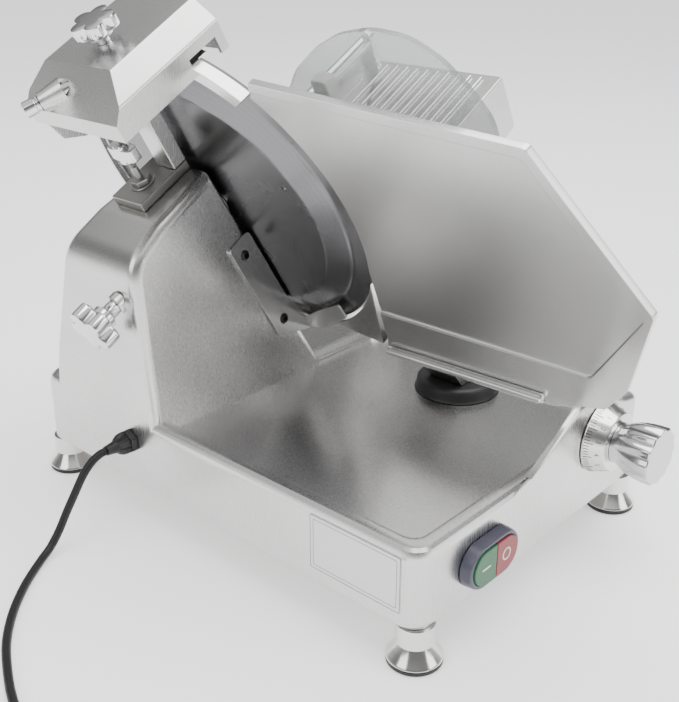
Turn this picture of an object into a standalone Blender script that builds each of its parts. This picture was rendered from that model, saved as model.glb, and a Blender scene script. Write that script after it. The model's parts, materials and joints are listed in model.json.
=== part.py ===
"""Gravity-feed deli slicer with a 300 mm blade, as an assembly of separate pieces.

World frame: +X to the machine's right (carriage side), -Y to the operator, +Z up, metres.
The machine frame has its origin on the floor, midway between the four feet.
The blade frame has its origin at the centre of the cutting edge: x runs rearwards along world Y,
y runs up the blade, z is the blade's axis and points to the product side.
"""

from math import atan2, cos, pi, radians, sin, tan

import bmesh
import bpy
from mathutils import Matrix, Vector

MM = 0.001
GAP = 0.3 * MM  # clearance between pieces that touch

# ---------------------------------------------------------------- driving dimensions
FRAME_SHIFT = (-53.95 * MM, 31.18 * MM)  # puts the bounding box's bottom centre on the world origin

FEET_X, FEET_Y = 139 * MM, 206 * MM  # half spacings of the feet
FOOT_HEIGHT = 33.3 * MM
BASE_X, BASE_Y = 153 * MM, 218 * MM  # half sizes of the base
LIP_TOP, TRAY_FLOOR = 98 * MM, 88 * MM
LIP_WIDTH = 14 * MM
WALL, TOWER_WALL = 6 * MM, 4 * MM

BLADE_TILT = radians(29)
BLADE_CENTRE = Vector((-31.6, 90.4, 264.9)) * MM
BLADE_R = 150 * MM
BEVEL_R, DISH_R = 133 * MM, 112 * MM  # inner edge of the ground bevel, flat back of the dish
DISH_DEPTH = 12 * MM
TOWER_FACE = -15 * MM  # tower's blade side, along the blade axis from the cutting plane
TOWER_TOP = 37 * MM  # tower's top plane, up the blade from its axis
TOWER_FOOT_Y, TOWER_LEAN = 57 * MM, 0.10

RING_INNER, RING_OUTER = 152 * MM, 155 * MM
RING_BACK, RING_FRONT = -6 * MM, 3.5 * MM
RING_TOP_END, RING_LOW_END = radians(129.5), radians(-155)

GAUGE_BACK, GAUGE_FACE = -12 * MM, -6 * MM  # open by 6 mm at rest
GAUGE_ARC_R, GAUGE_ARC_RISE = 154.5 * MM, 1.7 * MM
POST_X, POST_Y = 90 * MM, -70 * MM

TABLE_TOP = -98 * MM  # up the blade
TABLE_NEAR, TABLE_FAR = 6 * MM, 307 * MM  # along the blade axis
TABLE_FRONT, TABLE_REAR = -60 * MM, 103 * MM
TABLE_PLATE = 5 * MM
RIB_COUNT, RIB_PITCH, RIB_HEIGHT = 10, 13.5 * MM, 3 * MM

RAIL_X, RAIL_Z, RAIL_R = 178 * MM, 60 * MM, 8 * MM
RAIL_FRONT, RAIL_REAR = -182 * MM, 206 * MM

DIAL_X, DIAL_Z = 82 * MM, 95 * MM
SWITCH_X, SWITCH_Z = -76 * MM, 60 * MM
GLAND_Y, GLAND_Z = 91 * MM, 72.6 * MM

CORD_R = 3.5 * MM
COIL_CENTRE = Vector((-414, -150, 0)) * MM
COIL_R = 40 * MM  # middle of the turns
COIL_HALF_WIDTH, COIL_HEIGHT = 10.5 * MM, 21 * MM  # three turns wide, three high

SHAFT_R, TIE_ROD_R = 8 * MM, 4 * MM
PULLEY_R = 11 * MM
MOTOR_U, MOTOR_V = 28 * MM, -125 * MM  # motor pulley, in the blade frame
SEGMENTS = 24

# ---------------------------------------------------------------- scene, collections, frames
for old in list(bpy.data.objects):
    bpy.data.objects.remove(old, do_unlink=True)

parts = bpy.data.collections.new("deli_slicer")
cutters = bpy.data.collections.new("cutters")
bpy.context.scene.collection.children.link(parts)
bpy.context.scene.collection.children.link(cutters)


def empty(name, parent=None, location=(0, 0, 0), rotation=None):
    """A frame that pieces are placed in."""
    obj = bpy.data.objects.new(name, None)
    parts.objects.link(obj)
    obj.parent = parent
    obj.location = location
    if rotation is not None:
        obj.rotation_euler = rotation.to_euler()
    bpy.context.view_layer.update()
    return obj


UP_BLADE = Vector((-sin(BLADE_TILT), 0, cos(BLADE_TILT)))
BLADE_AXIS = Vector((cos(BLADE_TILT), 0, sin(BLADE_TILT)))
BLADE_TURN = Matrix((Vector((0, 1, 0)), UP_BLADE, BLADE_AXIS)).transposed()

machine = empty("machine", location=(FRAME_SHIFT[0], FRAME_SHIFT[1], 0))
blade_frame = empty("blade_frame", machine, BLADE_CENTRE, BLADE_TURN)
SIDE_VIEW = Matrix(((0, 0, -1), (0, 1, 0), (1, 0, 0)))  # x along the blade axis, y up the blade
side_frame = empty("side_frame", blade_frame, rotation=SIDE_VIEW)
# turns for pieces whose own Z lies along a world axis
ALONG_Y = Matrix.Rotation(radians(90), 3, "X")  # local +Z to world -Y
ALONG_X = Matrix.Rotation(radians(-90), 3, "Y")  # local +Z to world -X


def material(name, colour, roughness, metallic):
    """A Principled material with a flat colour."""
    mat = bpy.data.materials.new(name)
    mat.use_nodes = True
    shader = mat.node_tree.nodes["Principled BSDF"]
    shader.inputs["Base Color"].default_value = (*colour, 1)
    shader.inputs["Roughness"].default_value = roughness
    shader.inputs["Metallic"].default_value = metallic
    return mat


CAST = material("cast_aluminium", (0.62, 0.62, 0.62), 0.35, 1)
PLATE = material("anodised_plate", (0.70, 0.70, 0.70), 0.35, 1)
STEEL = material("polished_steel", (0.60, 0.60, 0.60), 0.2, 1)
BLADE_STEEL = material("blade_steel", (0.45, 0.45, 0.46), 0.15, 1)
RUBBER = material("black_rubber", (0.02, 0.02, 0.02), 0.6, 0)
PLASTIC = material("black_plastic", (0.03, 0.03, 0.03), 0.4, 0)
GREY = material("grey_plastic", (0.25, 0.25, 0.25), 0.4, 0)
GREEN = material("green_plastic", (0.05, 0.30, 0.15), 0.3, 0)
RED = material("red_plastic", (0.70, 0.08, 0.06), 0.3, 0)
CLEAR = material("clear_acrylic", (0.85, 0.85, 0.85), 0.05, 0)
STONE = material("grinding_stone", (0.55, 0.50, 0.45), 0.9, 0)
ZINC = material("zinc_steel", (0.5, 0.5, 0.5), 0.4, 1)


# ---------------------------------------------------------------- modelling tools
def adopt(obj, name, parent, mat, collection=parts):
    """Name an object, give it a material and put it in a frame."""
    obj.name = name
    for home in list(obj.users_collection):
        home.objects.unlink(obj)
    collection.objects.link(obj)
    obj.parent = parent
    if mat is not None:
        obj.data.materials.clear()
        obj.data.materials.append(mat)
    if collection is cutters:
        obj.hide_render = True
        obj.display_type = "WIRE"
    return obj


def box(name, low, high, parent=machine, mat=CAST, bevel=0.0, collection=parts):
    """A box between two corners of its frame."""
    bpy.ops.mesh.primitive_cube_add(size=1)
    obj = bpy.context.object
    low, high = Vector(low), Vector(high)
    obj.data.transform(Matrix.Diagonal((high - low).to_4d()))
    obj.location = (low + high) / 2
    adopt(obj, name, parent, mat, collection)
    if bevel:
        modifier = obj.modifiers.new("edges", "BEVEL")
        modifier.width = bevel
        modifier.segments = 2
    return obj


def turned(name, profile, parent=machine, location=(0, 0, 0), turn=None, mat=STEEL, steps=SEGMENTS,
           collection=parts):
    """A turned piece: (radius, height) points down the outer side, spun about its local Z."""
    closed = profile[0] == profile[-1]
    points = profile[:-1] if closed else profile
    edges = [(i, (i + 1) % len(points)) for i in range(len(profile) - 1)]
    mesh = bpy.data.meshes.new(name)
    mesh.from_pydata([(r, 0, z) for r, z in points], edges, [])
    obj = bpy.data.objects.new(name, mesh)
    adopt(obj, name, parent, mat, collection)
    obj.location = location
    if turn is not None:
        obj.rotation_euler = turn.to_euler()
    screw = obj.modifiers.new("turning", "SCREW")
    screw.steps = screw.render_steps = steps
    screw.use_merge_vertices = True
    screw.merge_threshold = 0.01 * MM
    return obj


def rod(name, radius, bottom, top, **place):
    """A plain round bar along local Z."""
    return turned(name, [(0, top), (radius, top), (radius, bottom), (0, bottom)], **place)


def sleeve(name, inner, outer, bottom, top, **place):
    """A plain round tube along local Z."""
    profile = [(inner, top), (outer, top), (outer, bottom), (inner, bottom), (inner, top)]
    return turned(name, profile, **place)


def to_mesh(obj):
    """The same object with its modifiers or its curve turned into a closed mesh."""
    bpy.context.view_layer.update()
    evaluated = obj.evaluated_get(bpy.context.evaluated_depsgraph_get())
    mesh = bpy.data.meshes.new_from_object(evaluated)
    work = bmesh.new()
    work.from_mesh(mesh)
    bmesh.ops.remove_doubles(work, verts=work.verts, dist=0.001 * MM)
    bmesh.ops.recalc_face_normals(work, faces=work.faces)
    work.to_mesh(mesh)
    work.free()
    new = bpy.data.objects.new(obj.name + "_mesh", mesh)
    new.parent = obj.parent
    new.matrix_local = obj.matrix_local.copy()
    name, home = obj.name, obj.users_collection[0]
    bpy.data.objects.remove(obj, do_unlink=True)
    home.objects.link(new)
    new.name = name
    if home is cutters:
        new.hide_render = True
        new.display_type = "WIRE"
    return new


def prism(name, outline, low, high, parent=machine, plane="XY", mat=CAST, collection=parts):
    """A flat outline made thick between two heights; plane names the frame's axes it lies in."""
    curve = bpy.data.curves.new(name, "CURVE")
    curve.dimensions = "2D"
    curve.fill_mode = "BOTH"
    curve.extrude = (high - low) / 2
    spline = curve.splines.new("POLY")
    spline.points.add(len(outline) - 1)
    for point, (a, b) in zip(spline.points, outline):
        point.co = (a, b, 0, 1)
    spline.use_cyclic_u = True
    obj = bpy.data.objects.new(name, curve)
    adopt(obj, name, parent, mat, collection)
    middle = (low + high) / 2
    if plane == "XY":
        obj.location = (0, 0, middle)
    elif plane == "XZ":
        obj.rotation_euler = (radians(90), 0, 0)
        obj.location = (0, middle, 0)
    else:  # "YZ"
        obj.rotation_euler = Matrix(((0, 0, 1), (1, 0, 0), (0, 1, 0))).to_euler()
        obj.location = (middle, 0, 0)
    return to_mesh(obj)


def tube(name, points, radius, parent=machine, mat=RUBBER, sides=2):
    """A round wire along points."""
    curve = bpy.data.curves.new(name, "CURVE")
    curve.dimensions = "3D"
    curve.bevel_depth = radius
    curve.bevel_resolution = sides
    curve.use_fill_caps = True
    spline = curve.splines.new("POLY")
    spline.points.add(len(points) - 1)
    for point, place in zip(spline.points, points):
        point.co = (*place, 1)
    obj = bpy.data.objects.new(name, curve)
    return adopt(obj, name, parent, mat)


def boolean(target, other, operation="DIFFERENCE"):
    """Cut, join or intersect a piece with another one."""
    modifier = target.modifiers.new(other.name, "BOOLEAN")
    modifier.operation = operation
    modifier.solver = "EXACT"
    modifier.object = other
    return target


def arc(radius, start, end, steps, centre=(0, 0)):
    """Points along a round stretch of an outline."""
    return [
        (centre[0] + radius * cos(start + (end - start) * i / steps),
         centre[1] + radius * sin(start + (end - start) * i / steps))
        for i in range(steps + 1)
    ]


def lobed(root, tip, lobes, per_lobe=6):
    """The outline of a hand knob with round lobes."""
    count = lobes * per_lobe
    points = []
    for i in range(count):
        angle = 2 * pi * i / count
        radius = root + (tip - root) * (0.5 + 0.5 * cos(lobes * angle))
        points.append((radius * cos(angle), radius * sin(angle)))
    return points


# ---------------------------------------------------------------- base casting
def tower_outlines(inset):
    """Front-view and side-view outlines of the tower, moved in by a wall thickness."""
    tan_tilt = tan(BLADE_TILT)
    corner = BLADE_CENTRE + BLADE_AXIS * TOWER_FACE + UP_BLADE * (TOWER_TOP - inset)
    corner -= BLADE_AXIS * inset * 1.4
    shoulder_x = -BASE_X + 32 * MM
    shoulder_z = corner.z - (corner.x - shoulder_x) * tan_tilt
    floor_z = 60 * MM if not inset else 50 * MM
    foot_x = corner.x + (corner.z - floor_z) * tan_tilt
    left = -BASE_X + inset
    front_view = [
        (left, floor_z), (foot_x, floor_z), (corner.x, corner.z),
        (shoulder_x + inset * 0.3, shoulder_z), (left, shoulder_z - 26 * MM),
    ]
    lean = TOWER_LEAN
    front = TOWER_FOOT_Y + inset
    side_view = [
        (front + lean * (floor_z - LIP_TOP), floor_z), (203 * MM - inset, floor_z),
        (193 * MM - inset, 126 * MM), (163 * MM - inset, 230 * MM), (140 * MM - inset, 300 * MM),
        (front + lean * (300 * MM - LIP_TOP), 300 * MM),
    ]
    return front_view, side_view


def tower_block(name, inset, collection):
    front_view, side_view = tower_outlines(inset)
    block = prism(name, front_view, 40 * MM, 215 * MM, plane="XZ", collection=collection)
    sides = prism(name + "_sides", side_view, -BASE_X - 5 * MM, 90 * MM, plane="YZ", collection=cutters)
    boolean(block, sides, "INTERSECT")
    return to_mesh(block)


def make_base():
    base = box("base_casting", (-BASE_X, -BASE_Y, FOOT_HEIGHT), (BASE_X, BASE_Y, LIP_TOP))
    inner_x, inner_y = BASE_X - LIP_WIDTH, BASE_Y - LIP_WIDTH
    recess = box("tray_recess", (-inner_x, -inner_y, TRAY_FLOOR), (inner_x, 66 * MM, 200 * MM),
                 collection=cutters)
    boolean(base, recess)
    boss = [(x * MM, z * MM) for x, z in
            [(-35, 70), (153, 70), (153, 108), (124, 115), (75, 132), (45, 134), (-18, 103), (-35, 98)]]
    front_boss = prism("front_boss", boss, -BASE_Y, -BASE_Y + 50 * MM, plane="XZ", collection=cutters)
    inner_slope = empty("inner_slope", parent=machine, location=(6 * MM, -203.5 * MM, TRAY_FLOOR),
                        rotation=Vector((-0.218, 0.910, 0.353)).to_track_quat("Z", "Y"))
    behind = box("behind_boss", (-0.3, -0.3, 0), (0.3, 0.3, 0.1), parent=inner_slope, collection=cutters)
    boolean(front_boss, behind)
    boolean(base, to_mesh(front_boss), "UNION")
    boolean(base, tower_block("tower", 0, cutters), "UNION")
    cavity = box("base_cavity", (-BASE_X + WALL, -BASE_Y + WALL, FOOT_HEIGHT - 5 * MM),
                 (BASE_X - WALL, BASE_Y - WALL, TRAY_FLOOR - WALL), collection=cutters)
    boolean(base, cavity)
    boolean(base, tower_block("tower_cavity", TOWER_WALL, cutters))
    bore = rod("bearing_bore", 13.3 * MM, -40 * MM, 5 * MM, parent=blade_frame, collection=cutters)
    boolean(base, bore)
    rod_hole = rod("tie_rod_hole", TIE_ROD_R + GAP, -190 * MM, -40 * MM, parent=blade_frame,
                   collection=cutters)
    boolean(base, rod_hole)
    gland_hole = rod("gland_hole", 8 * MM + GAP, -30 * MM, 30 * MM, turn=ALONG_X,
                     location=(-BASE_X, GLAND_Y, GLAND_Z), collection=cutters)
    boolean(base, gland_hole)
    dial_hole = rod("dial_hole", 5 * MM + GAP, -60 * MM, 30 * MM, turn=ALONG_Y,
                    location=(DIAL_X, -BASE_Y, DIAL_Z), collection=cutters)
    boolean(base, dial_hole)
    slot = box("post_slot", (POST_X - 28 * MM, POST_Y - 10 * MM, 70 * MM),
               (POST_X + 24 * MM, POST_Y + 10 * MM, 100 * MM), collection=cutters)
    boolean(base, slot)
    cover = box("bottom_cover", (-BASE_X + WALL + GAP, -BASE_Y + WALL + GAP, FOOT_HEIGHT + GAP),
                (BASE_X - WALL - GAP, BASE_Y - WALL - GAP, FOOT_HEIGHT + 1.5 * MM), mat=ZINC)
    for x in (-1, 1):
        for y in (-1, 1):
            bolt = rod("foot_bolt_hole", 7 * MM, 20 * MM, 60 * MM, location=(x * FEET_X, y * FEET_Y, 0),
                       collection=cutters)
            boolean(cover, bolt)


def make_feet():
    sides = {"front": -1, "rear": 1}
    hands = {"left": -1, "right": 1}
    top, pad = FOOT_HEIGHT - GAP, 4 * MM
    cone = [(0, top), (14.5 * MM, top), (14.5 * MM, 17 * MM), (12.5 * MM, 16 * MM),
            (21 * MM, pad + 1 * MM), (21 * MM, pad + GAP), (0, pad + GAP)]
    sole = [(0, pad), (20 * MM, pad), (21 * MM, 0), (0, 0)]
    for side, y in sides.items():
        for hand, x in hands.items():
            place = (x * FEET_X, y * FEET_Y, 0)
            turned(f"foot_{side}_{hand}", cone, location=place, steps=20)
            turned(f"pad_{side}_{hand}", sole, location=place, mat=RUBBER, steps=20)


# ---------------------------------------------------------------- blade, drive and tie rod
def make_blade():
    back, bore = -DISH_DEPTH, 9 * MM
    profile = [
        (bore, back + 3 * MM), (DISH_R - 3 * MM, back + 3 * MM), (BEVEL_R - 2 * MM, -1 * MM),
        (BLADE_R, 0), (BLADE_R, -0.4 * MM), (BEVEL_R, -3 * MM), (DISH_R, back), (bore, back),
        (bore, back + 3 * MM),
    ]
    turned("blade", profile, parent=blade_frame, mat=BLADE_STEEL, steps=64)
    flange_r = 30 * MM
    shaft = [
        (TIE_ROD_R + GAP, -6 * MM), (flange_r, -6 * MM), (flange_r, back + 3 * MM + GAP),
        (SHAFT_R, back + 3 * MM + GAP), (SHAFT_R, -62 * MM), (TIE_ROD_R + GAP, -62 * MM),
        (TIE_ROD_R + GAP, -6 * MM),
    ]
    turned("blade_shaft", shaft, parent=blade_frame)


def make_drive():
    sleeve("blade_bearing", SHAFT_R + GAP, 13 * MM, TOWER_FACE - 8 * MM, TOWER_FACE - GAP,
           parent=blade_frame, mat=STEEL)
    sleeve("blade_pulley", SHAFT_R + GAP, PULLEY_R, -46 * MM, -30 * MM, parent=blade_frame, mat=ZINC)
    motor_place = (MOTOR_U, MOTOR_V, 0)
    sleeve("motor_pulley", 5 * MM + GAP, PULLEY_R, -46 * MM, -30 * MM, parent=blade_frame,
           location=motor_place, mat=ZINC)
    inner, outer = PULLEY_R + GAP, PULLEY_R + 2.3 * MM
    heading = atan2(MOTOR_V, MOTOR_U)

    def loop(radius):
        far = arc(radius, heading - pi / 2, heading + pi / 2, 10, (MOTOR_U, MOTOR_V))
        near = arc(radius, heading + pi / 2, heading + 3 * pi / 2, 10)
        return far + near

    belt = prism("drive_belt", loop(outer), -44 * MM, -32 * MM, parent=blade_frame, mat=RUBBER)
    hole = prism("belt_inside", loop(inner), -50 * MM, -26 * MM, parent=blade_frame, collection=cutters)
    boolean(belt, hole)
    body = [(0, -30.5 * MM), (5 * MM, -30.5 * MM), (5 * MM, -47 * MM), (28 * MM, -47 * MM),
            (28 * MM, -62 * MM), (33 * MM, -64 * MM), (33 * MM, -118 * MM), (0, -118 * MM)]
    turned("gear_motor", body, parent=blade_frame, location=motor_place, mat=GREY)
    rod("tie_rod", TIE_ROD_R, -150 * MM, -3.3 * MM, parent=blade_frame, steps=16)
    knob = prism("tie_rod_knob", lobed(13 * MM, 21 * MM, 5), -176 * MM, -156 * MM, parent=blade_frame,
                 mat=STEEL)
    neck = rod("knob_neck", 8 * MM, -157 * MM, -150.3 * MM, parent=blade_frame, collection=cutters)
    boolean(knob, neck, "UNION")
    cover = [(0, 1 * MM), (88 * MM, -1 * MM), (92 * MM, -3 * MM), (92 * MM, -5.5 * MM),
             (32 * MM, -5.5 * MM), (32 * MM, -3 * MM), (0, -3 * MM)]
    turned("blade_cover", cover, parent=blade_frame, mat=PLATE, steps=48)


# ---------------------------------------------------------------- guard ring and slice deflector
def make_guard():
    low, high = RING_LOW_END, RING_TOP_END
    outline = arc(RING_INNER, low, high, 48)
    outline += arc(RING_OUTER, high, radians(-118), 40)
    outline.append((-121.6 * MM, -142.6 * MM))
    ring = prism("guard_ring", outline, RING_BACK, RING_FRONT, parent=blade_frame, mat=CAST)
    for angle in (-62, -88):
        place = (153.5 * MM * cos(radians(angle)), 153.5 * MM * sin(radians(angle)), 0)
        lug = rod("ring_lug", 1.5 * MM, TOWER_FACE + GAP, RING_BACK + 1 * MM, parent=blade_frame,
                  location=place, collection=cutters, steps=12)
        boolean(ring, lug, "UNION")


def make_deflector():
    """A bent plate on the tower's front face with a finger that reaches under the blade's edge."""
    turn = Matrix.Rotation(-atan2(TOWER_LEAN, 1), 3, "X")
    front = empty("tower_front", machine, (0, TOWER_FOOT_Y, LIP_TOP), turn)
    outline = [(x * MM, z * MM) for x, z in
               [(-54, 123), (-31, 136.5), (6, 69), (20, 54), (38, 38), (31, 30), (-6, 33)]]
    plate = prism("slice_deflector", outline, -2.5 * MM, -GAP, parent=front, plane="XZ", mat=PLATE)
    finger = [(x * MM, y * MM) for x, y in
              [(-32, -152), (-58, -143), (-91, -118), (-88, -102), (-56, -121), (-32, -138)]]
    tip = prism("deflector_finger", finger, -9 * MM, -7 * MM, parent=blade_frame, collection=cutters)
    boolean(plate, tip, "UNION")
    for name, x, z in (("upper", -37 * MM, 116 * MM), ("lower", 1 * MM, 48 * MM)):
        rod(f"deflector_screw_{name}", 4.5 * MM, 2.5 * MM + GAP, 5 * MM, parent=front,
            location=(x, 0, z), turn=ALONG_Y, steps=12)


# ---------------------------------------------------------------- sharpener
def make_sharpener():
    mount = box("sharpener_mount", (8 * MM, TOWER_TOP + GAP, -74 * MM), (46 * MM, 46 * MM, -17 * MM),
                parent=blade_frame, mat=ZINC)
    stud_place = (28 * MM, 0, -52 * MM)
    up = Matrix.Rotation(radians(-90), 3, "X")  # local +Z to the blade's up direction
    stud_hole = rod("stud_hole", 3.2 * MM + GAP, 30 * MM, 60 * MM, parent=blade_frame,
                    location=stud_place, turn=up, steps=12, collection=cutters)
    boolean(mount, stud_hole)
    prism_nut = [(9 * MM * cos(radians(60 * i)), 9 * MM * sin(radians(60 * i))) for i in range(6)]
    nut_frame = empty("stud_frame", blade_frame, stud_place, up)
    prism("mount_nut", prism_nut, 46 * MM + GAP, 52 * MM, parent=nut_frame, mat=ZINC)
    nut = bpy.data.objects["mount_nut"]
    boolean(nut, rod("nut_hole", 3.2 * MM + GAP, 40 * MM, 60 * MM, parent=nut_frame, steps=12,
                     collection=cutters))
    rod("lock_stud", 3.2 * MM, 38 * MM, 118 * MM, parent=nut_frame, steps=12)
    wings = [(5, 5), (-5, 5), (-14, 4), (-15, -4), (-5, -5), (5, -5), (15, -4), (14, 4)]
    prism("wing_knob", [(x * MM, y * MM) for x, y in wings], 72 * MM, 84 * MM, parent=nut_frame)
    boolean(bpy.data.objects["wing_knob"],
            rod("wing_hole", 3.2 * MM + GAP, 60 * MM, 90 * MM, parent=nut_frame, steps=12,
                collection=cutters))

    def outline(inset, floor):
        return [(u * MM, v * MM) for u, v in [
            (-60 + inset, floor), (50 - inset, floor), (50 - inset, 158), (34 - inset * 0.4, 175 - inset),
            (-44 + inset * 0.4, 175 - inset), (-60 + inset, 158)]]

    hood = prism("sharpener_hood", outline(0, 135), -92 * MM, 22 * MM, parent=blade_frame)
    inside = prism("hood_inside", outline(3, 130), -88 * MM, 18 * MM, parent=blade_frame,
                   collection=cutters)
    boolean(hood, inside)
    slope = [(-66, 190), (-66, 175), (-94, 147), (-120, 147), (-120, 190)]
    end_cut = prism("hood_end_cut", [(s * MM, v * MM) for s, v in slope], -90 * MM, 90 * MM,
                    parent=side_frame, collection=cutters)
    boolean(hood, end_cut)
    end_wall = [(-60, 175), (-66, 175), (-92, 149), (-92, 143), (-62.5, 172.5)]
    wall = prism("hood_end_wall", [(s * MM, v * MM) for s, v in end_wall], -50 * MM, 60 * MM,
                 parent=side_frame, collection=cutters)
    boolean(wall, prism("hood_outline", outline(0, 135), -100 * MM, 30 * MM, parent=blade_frame,
                        collection=cutters), "INTERSECT")
    boolean(hood, wall, "UNION")
    for side, u in (("front", -65), ("rear", 45)):
        notch = box(f"ring_notch_{side}", (u * MM, 120 * MM, -15 * MM), ((u + 12) * MM, 149 * MM, 14 * MM),
                    parent=blade_frame, collection=cutters)
        boolean(hood, notch)
    pin_frame = empty("pin_frame", blade_frame, (11 * MM, 160 * MM, -84 * MM),
                      Matrix.Rotation(radians(180 - 30), 3, "Y"))
    pin_hole = rod("pin_hole", 5 * MM + GAP, -30 * MM, 30 * MM, parent=pin_frame, steps=12,
                   collection=cutters)
    boolean(hood, pin_hole)
    turned("push_pin", [(0, 26 * MM), (6.5 * MM, 26 * MM), (6.5 * MM, 14 * MM), (5 * MM, 14 * MM),
                        (5 * MM, -24 * MM), (0, -24 * MM)], parent=pin_frame, steps=16)
    box("sharpener_post", (8 * MM, 46 * MM + GAP, -31 * MM), (30 * MM, 172 * MM - GAP, -17 * MM),
        parent=blade_frame)
    stone = [(0, -8 * MM), (18 * MM, -8 * MM), (18 * MM, -15 * MM), (4 * MM, -15 * MM),
             (4 * MM, -58 * MM), (0, -58 * MM)]
    turned("grinding_stone", stone, parent=blade_frame, location=(-26 * MM, 148 * MM, 0), mat=STONE)
    deburr = [(0, 18 * MM - GAP), (4 * MM, 18 * MM - GAP), (4 * MM, 14 * MM), (12 * MM, 14 * MM),
              (12 * MM, 7 * MM), (0, 7 * MM)]
    turned("deburring_stone", deburr, parent=blade_frame, location=(-20 * MM, 150 * MM, 0), mat=STONE)
    knob_frame = empty("hood_knob_frame", blade_frame, (-6 * MM, 175 * MM, -38 * MM), up)
    knob = prism("hood_knob", lobed(11 * MM, 18 * MM, 5), 9 * MM, 21 * MM, parent=knob_frame, mat=STEEL)
    stem = rod("hood_knob_stem", 6 * MM, GAP, 10 * MM, parent=knob_frame, collection=cutters)
    boolean(knob, stem, "UNION")


# ---------------------------------------------------------------- thickness gauge
def make_gauge():
    centre = (0, GAUGE_ARC_RISE)
    outline = [(x * MM, y * MM) for x, y in [
        (-109, 134), (-333, 119), (-398, -2), (-367, -87), (-344, -119), (-326, -124), (-294, -138),
        (-132, -140), (-138, -123)]]
    outline += arc(GAUGE_ARC_R, radians(199), radians(131), 16, centre)
    plate = prism("gauge_plate", outline, GAUGE_BACK, GAUGE_FACE, parent=blade_frame, mat=PLATE)
    bar = box("gauge_lip", (-290 * MM, -137 * MM, GAUGE_BACK - 4 * MM),
              (-136 * MM, -129 * MM, GAUGE_BACK + 1 * MM), parent=blade_frame, collection=cutters)
    boolean(plate, bar, "UNION")
    bracket = [(x * MM, z * MM) for x, z in
               [(18.4, 163.5), (60, 150), (100, 122), (108, 101), (72, 101), (58, 118), (31, 141)]]
    prism("gauge_post", bracket, POST_Y - 18 * MM, POST_Y + 18 * MM, plane="XZ")
    boot = [(0, 100.5 * MM), (22 * MM, 100.5 * MM), (28 * MM, 94 * MM), (38 * MM, 90 * MM),
            (38 * MM, TRAY_FLOOR + GAP), (0, TRAY_FLOOR + GAP)]
    turned("post_boot", boot, location=(POST_X, POST_Y, 0), mat=RUBBER)
    box("gauge_slider", (POST_X - 16 * MM, POST_Y - 8 * MM, 52 * MM),
        (POST_X + 14 * MM, POST_Y + 8 * MM, TRAY_FLOOR), mat=ZINC)
    slider = bpy.data.objects["gauge_slider"]
    boolean(slider, rod("slider_bore", 6 * MM + GAP, -60 * MM, 60 * MM, turn=ALONG_X,
                        location=(POST_X, POST_Y, 62 * MM), collection=cutters))
    rod("gauge_rod", 6 * MM, -45 * MM, 45 * MM, turn=ALONG_X, location=(POST_X, POST_Y, 62 * MM))
    bracket = box("gauge_rod_bracket", (POST_X - 50 * MM, POST_Y - 8 * MM, FOOT_HEIGHT + 2 * MM),
                  (POST_X + 50 * MM, POST_Y + 8 * MM, 72 * MM), mat=ZINC)
    boolean(bracket, box("gauge_rod_window", (POST_X - 45 * MM - GAP, POST_Y - 20 * MM, 45 * MM),
                         (POST_X + 45 * MM + GAP, POST_Y + 20 * MM, 90 * MM), collection=cutters))


def make_dial():
    place = (DIAL_X, -BASE_Y, DIAL_Z)
    ring = [(0, 18 * MM), (26 * MM, 18 * MM), (30 * MM, 14 * MM), (30 * MM, GAP), (5 * MM, GAP),
            (5 * MM, -40 * MM), (0, -40 * MM)]
    turned("dial_ring", ring, location=place, turn=ALONG_Y, mat=PLATE, steps=32)
    knob_frame = empty("dial_frame", machine, place, ALONG_Y)
    prism("dial_knob", lobed(21.5 * MM, 24 * MM, 12, 4), 18 * MM + GAP, 54 * MM, parent=knob_frame)


# ---------------------------------------------------------------- switch, label, gland
def make_switch():
    half_w, half_h, depth = 31 * MM, 21 * MM, 10 * MM
    housing = box("switch_housing", (SWITCH_X - half_w, -BASE_Y - depth, SWITCH_Z - half_h),
                  (SWITCH_X + half_w, -BASE_Y - GAP, SWITCH_Z + half_h), mat=GREY, bevel=3 * MM)
    pocket = box("switch_pocket", (SWITCH_X - 26 * MM, -BASE_Y - 20 * MM, SWITCH_Z - 16 * MM),
                 (SWITCH_X + 26 * MM, -BASE_Y - 5 * MM, SWITCH_Z + 16 * MM), collection=cutters)
    boolean(housing, pocket)
    for name, side, mat in (("start_button", -1, GREEN), ("stop_button", 1, RED)):
        inner, outer = SWITCH_X + side * 0.4 * MM, SWITCH_X + side * 25.5 * MM
        box(name, (min(inner, outer), -BASE_Y - 12 * MM, SWITCH_Z - 15.5 * MM),
            (max(inner, outer), -BASE_Y - 8 * MM, SWITCH_Z + 15.5 * MM), mat=mat)


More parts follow.
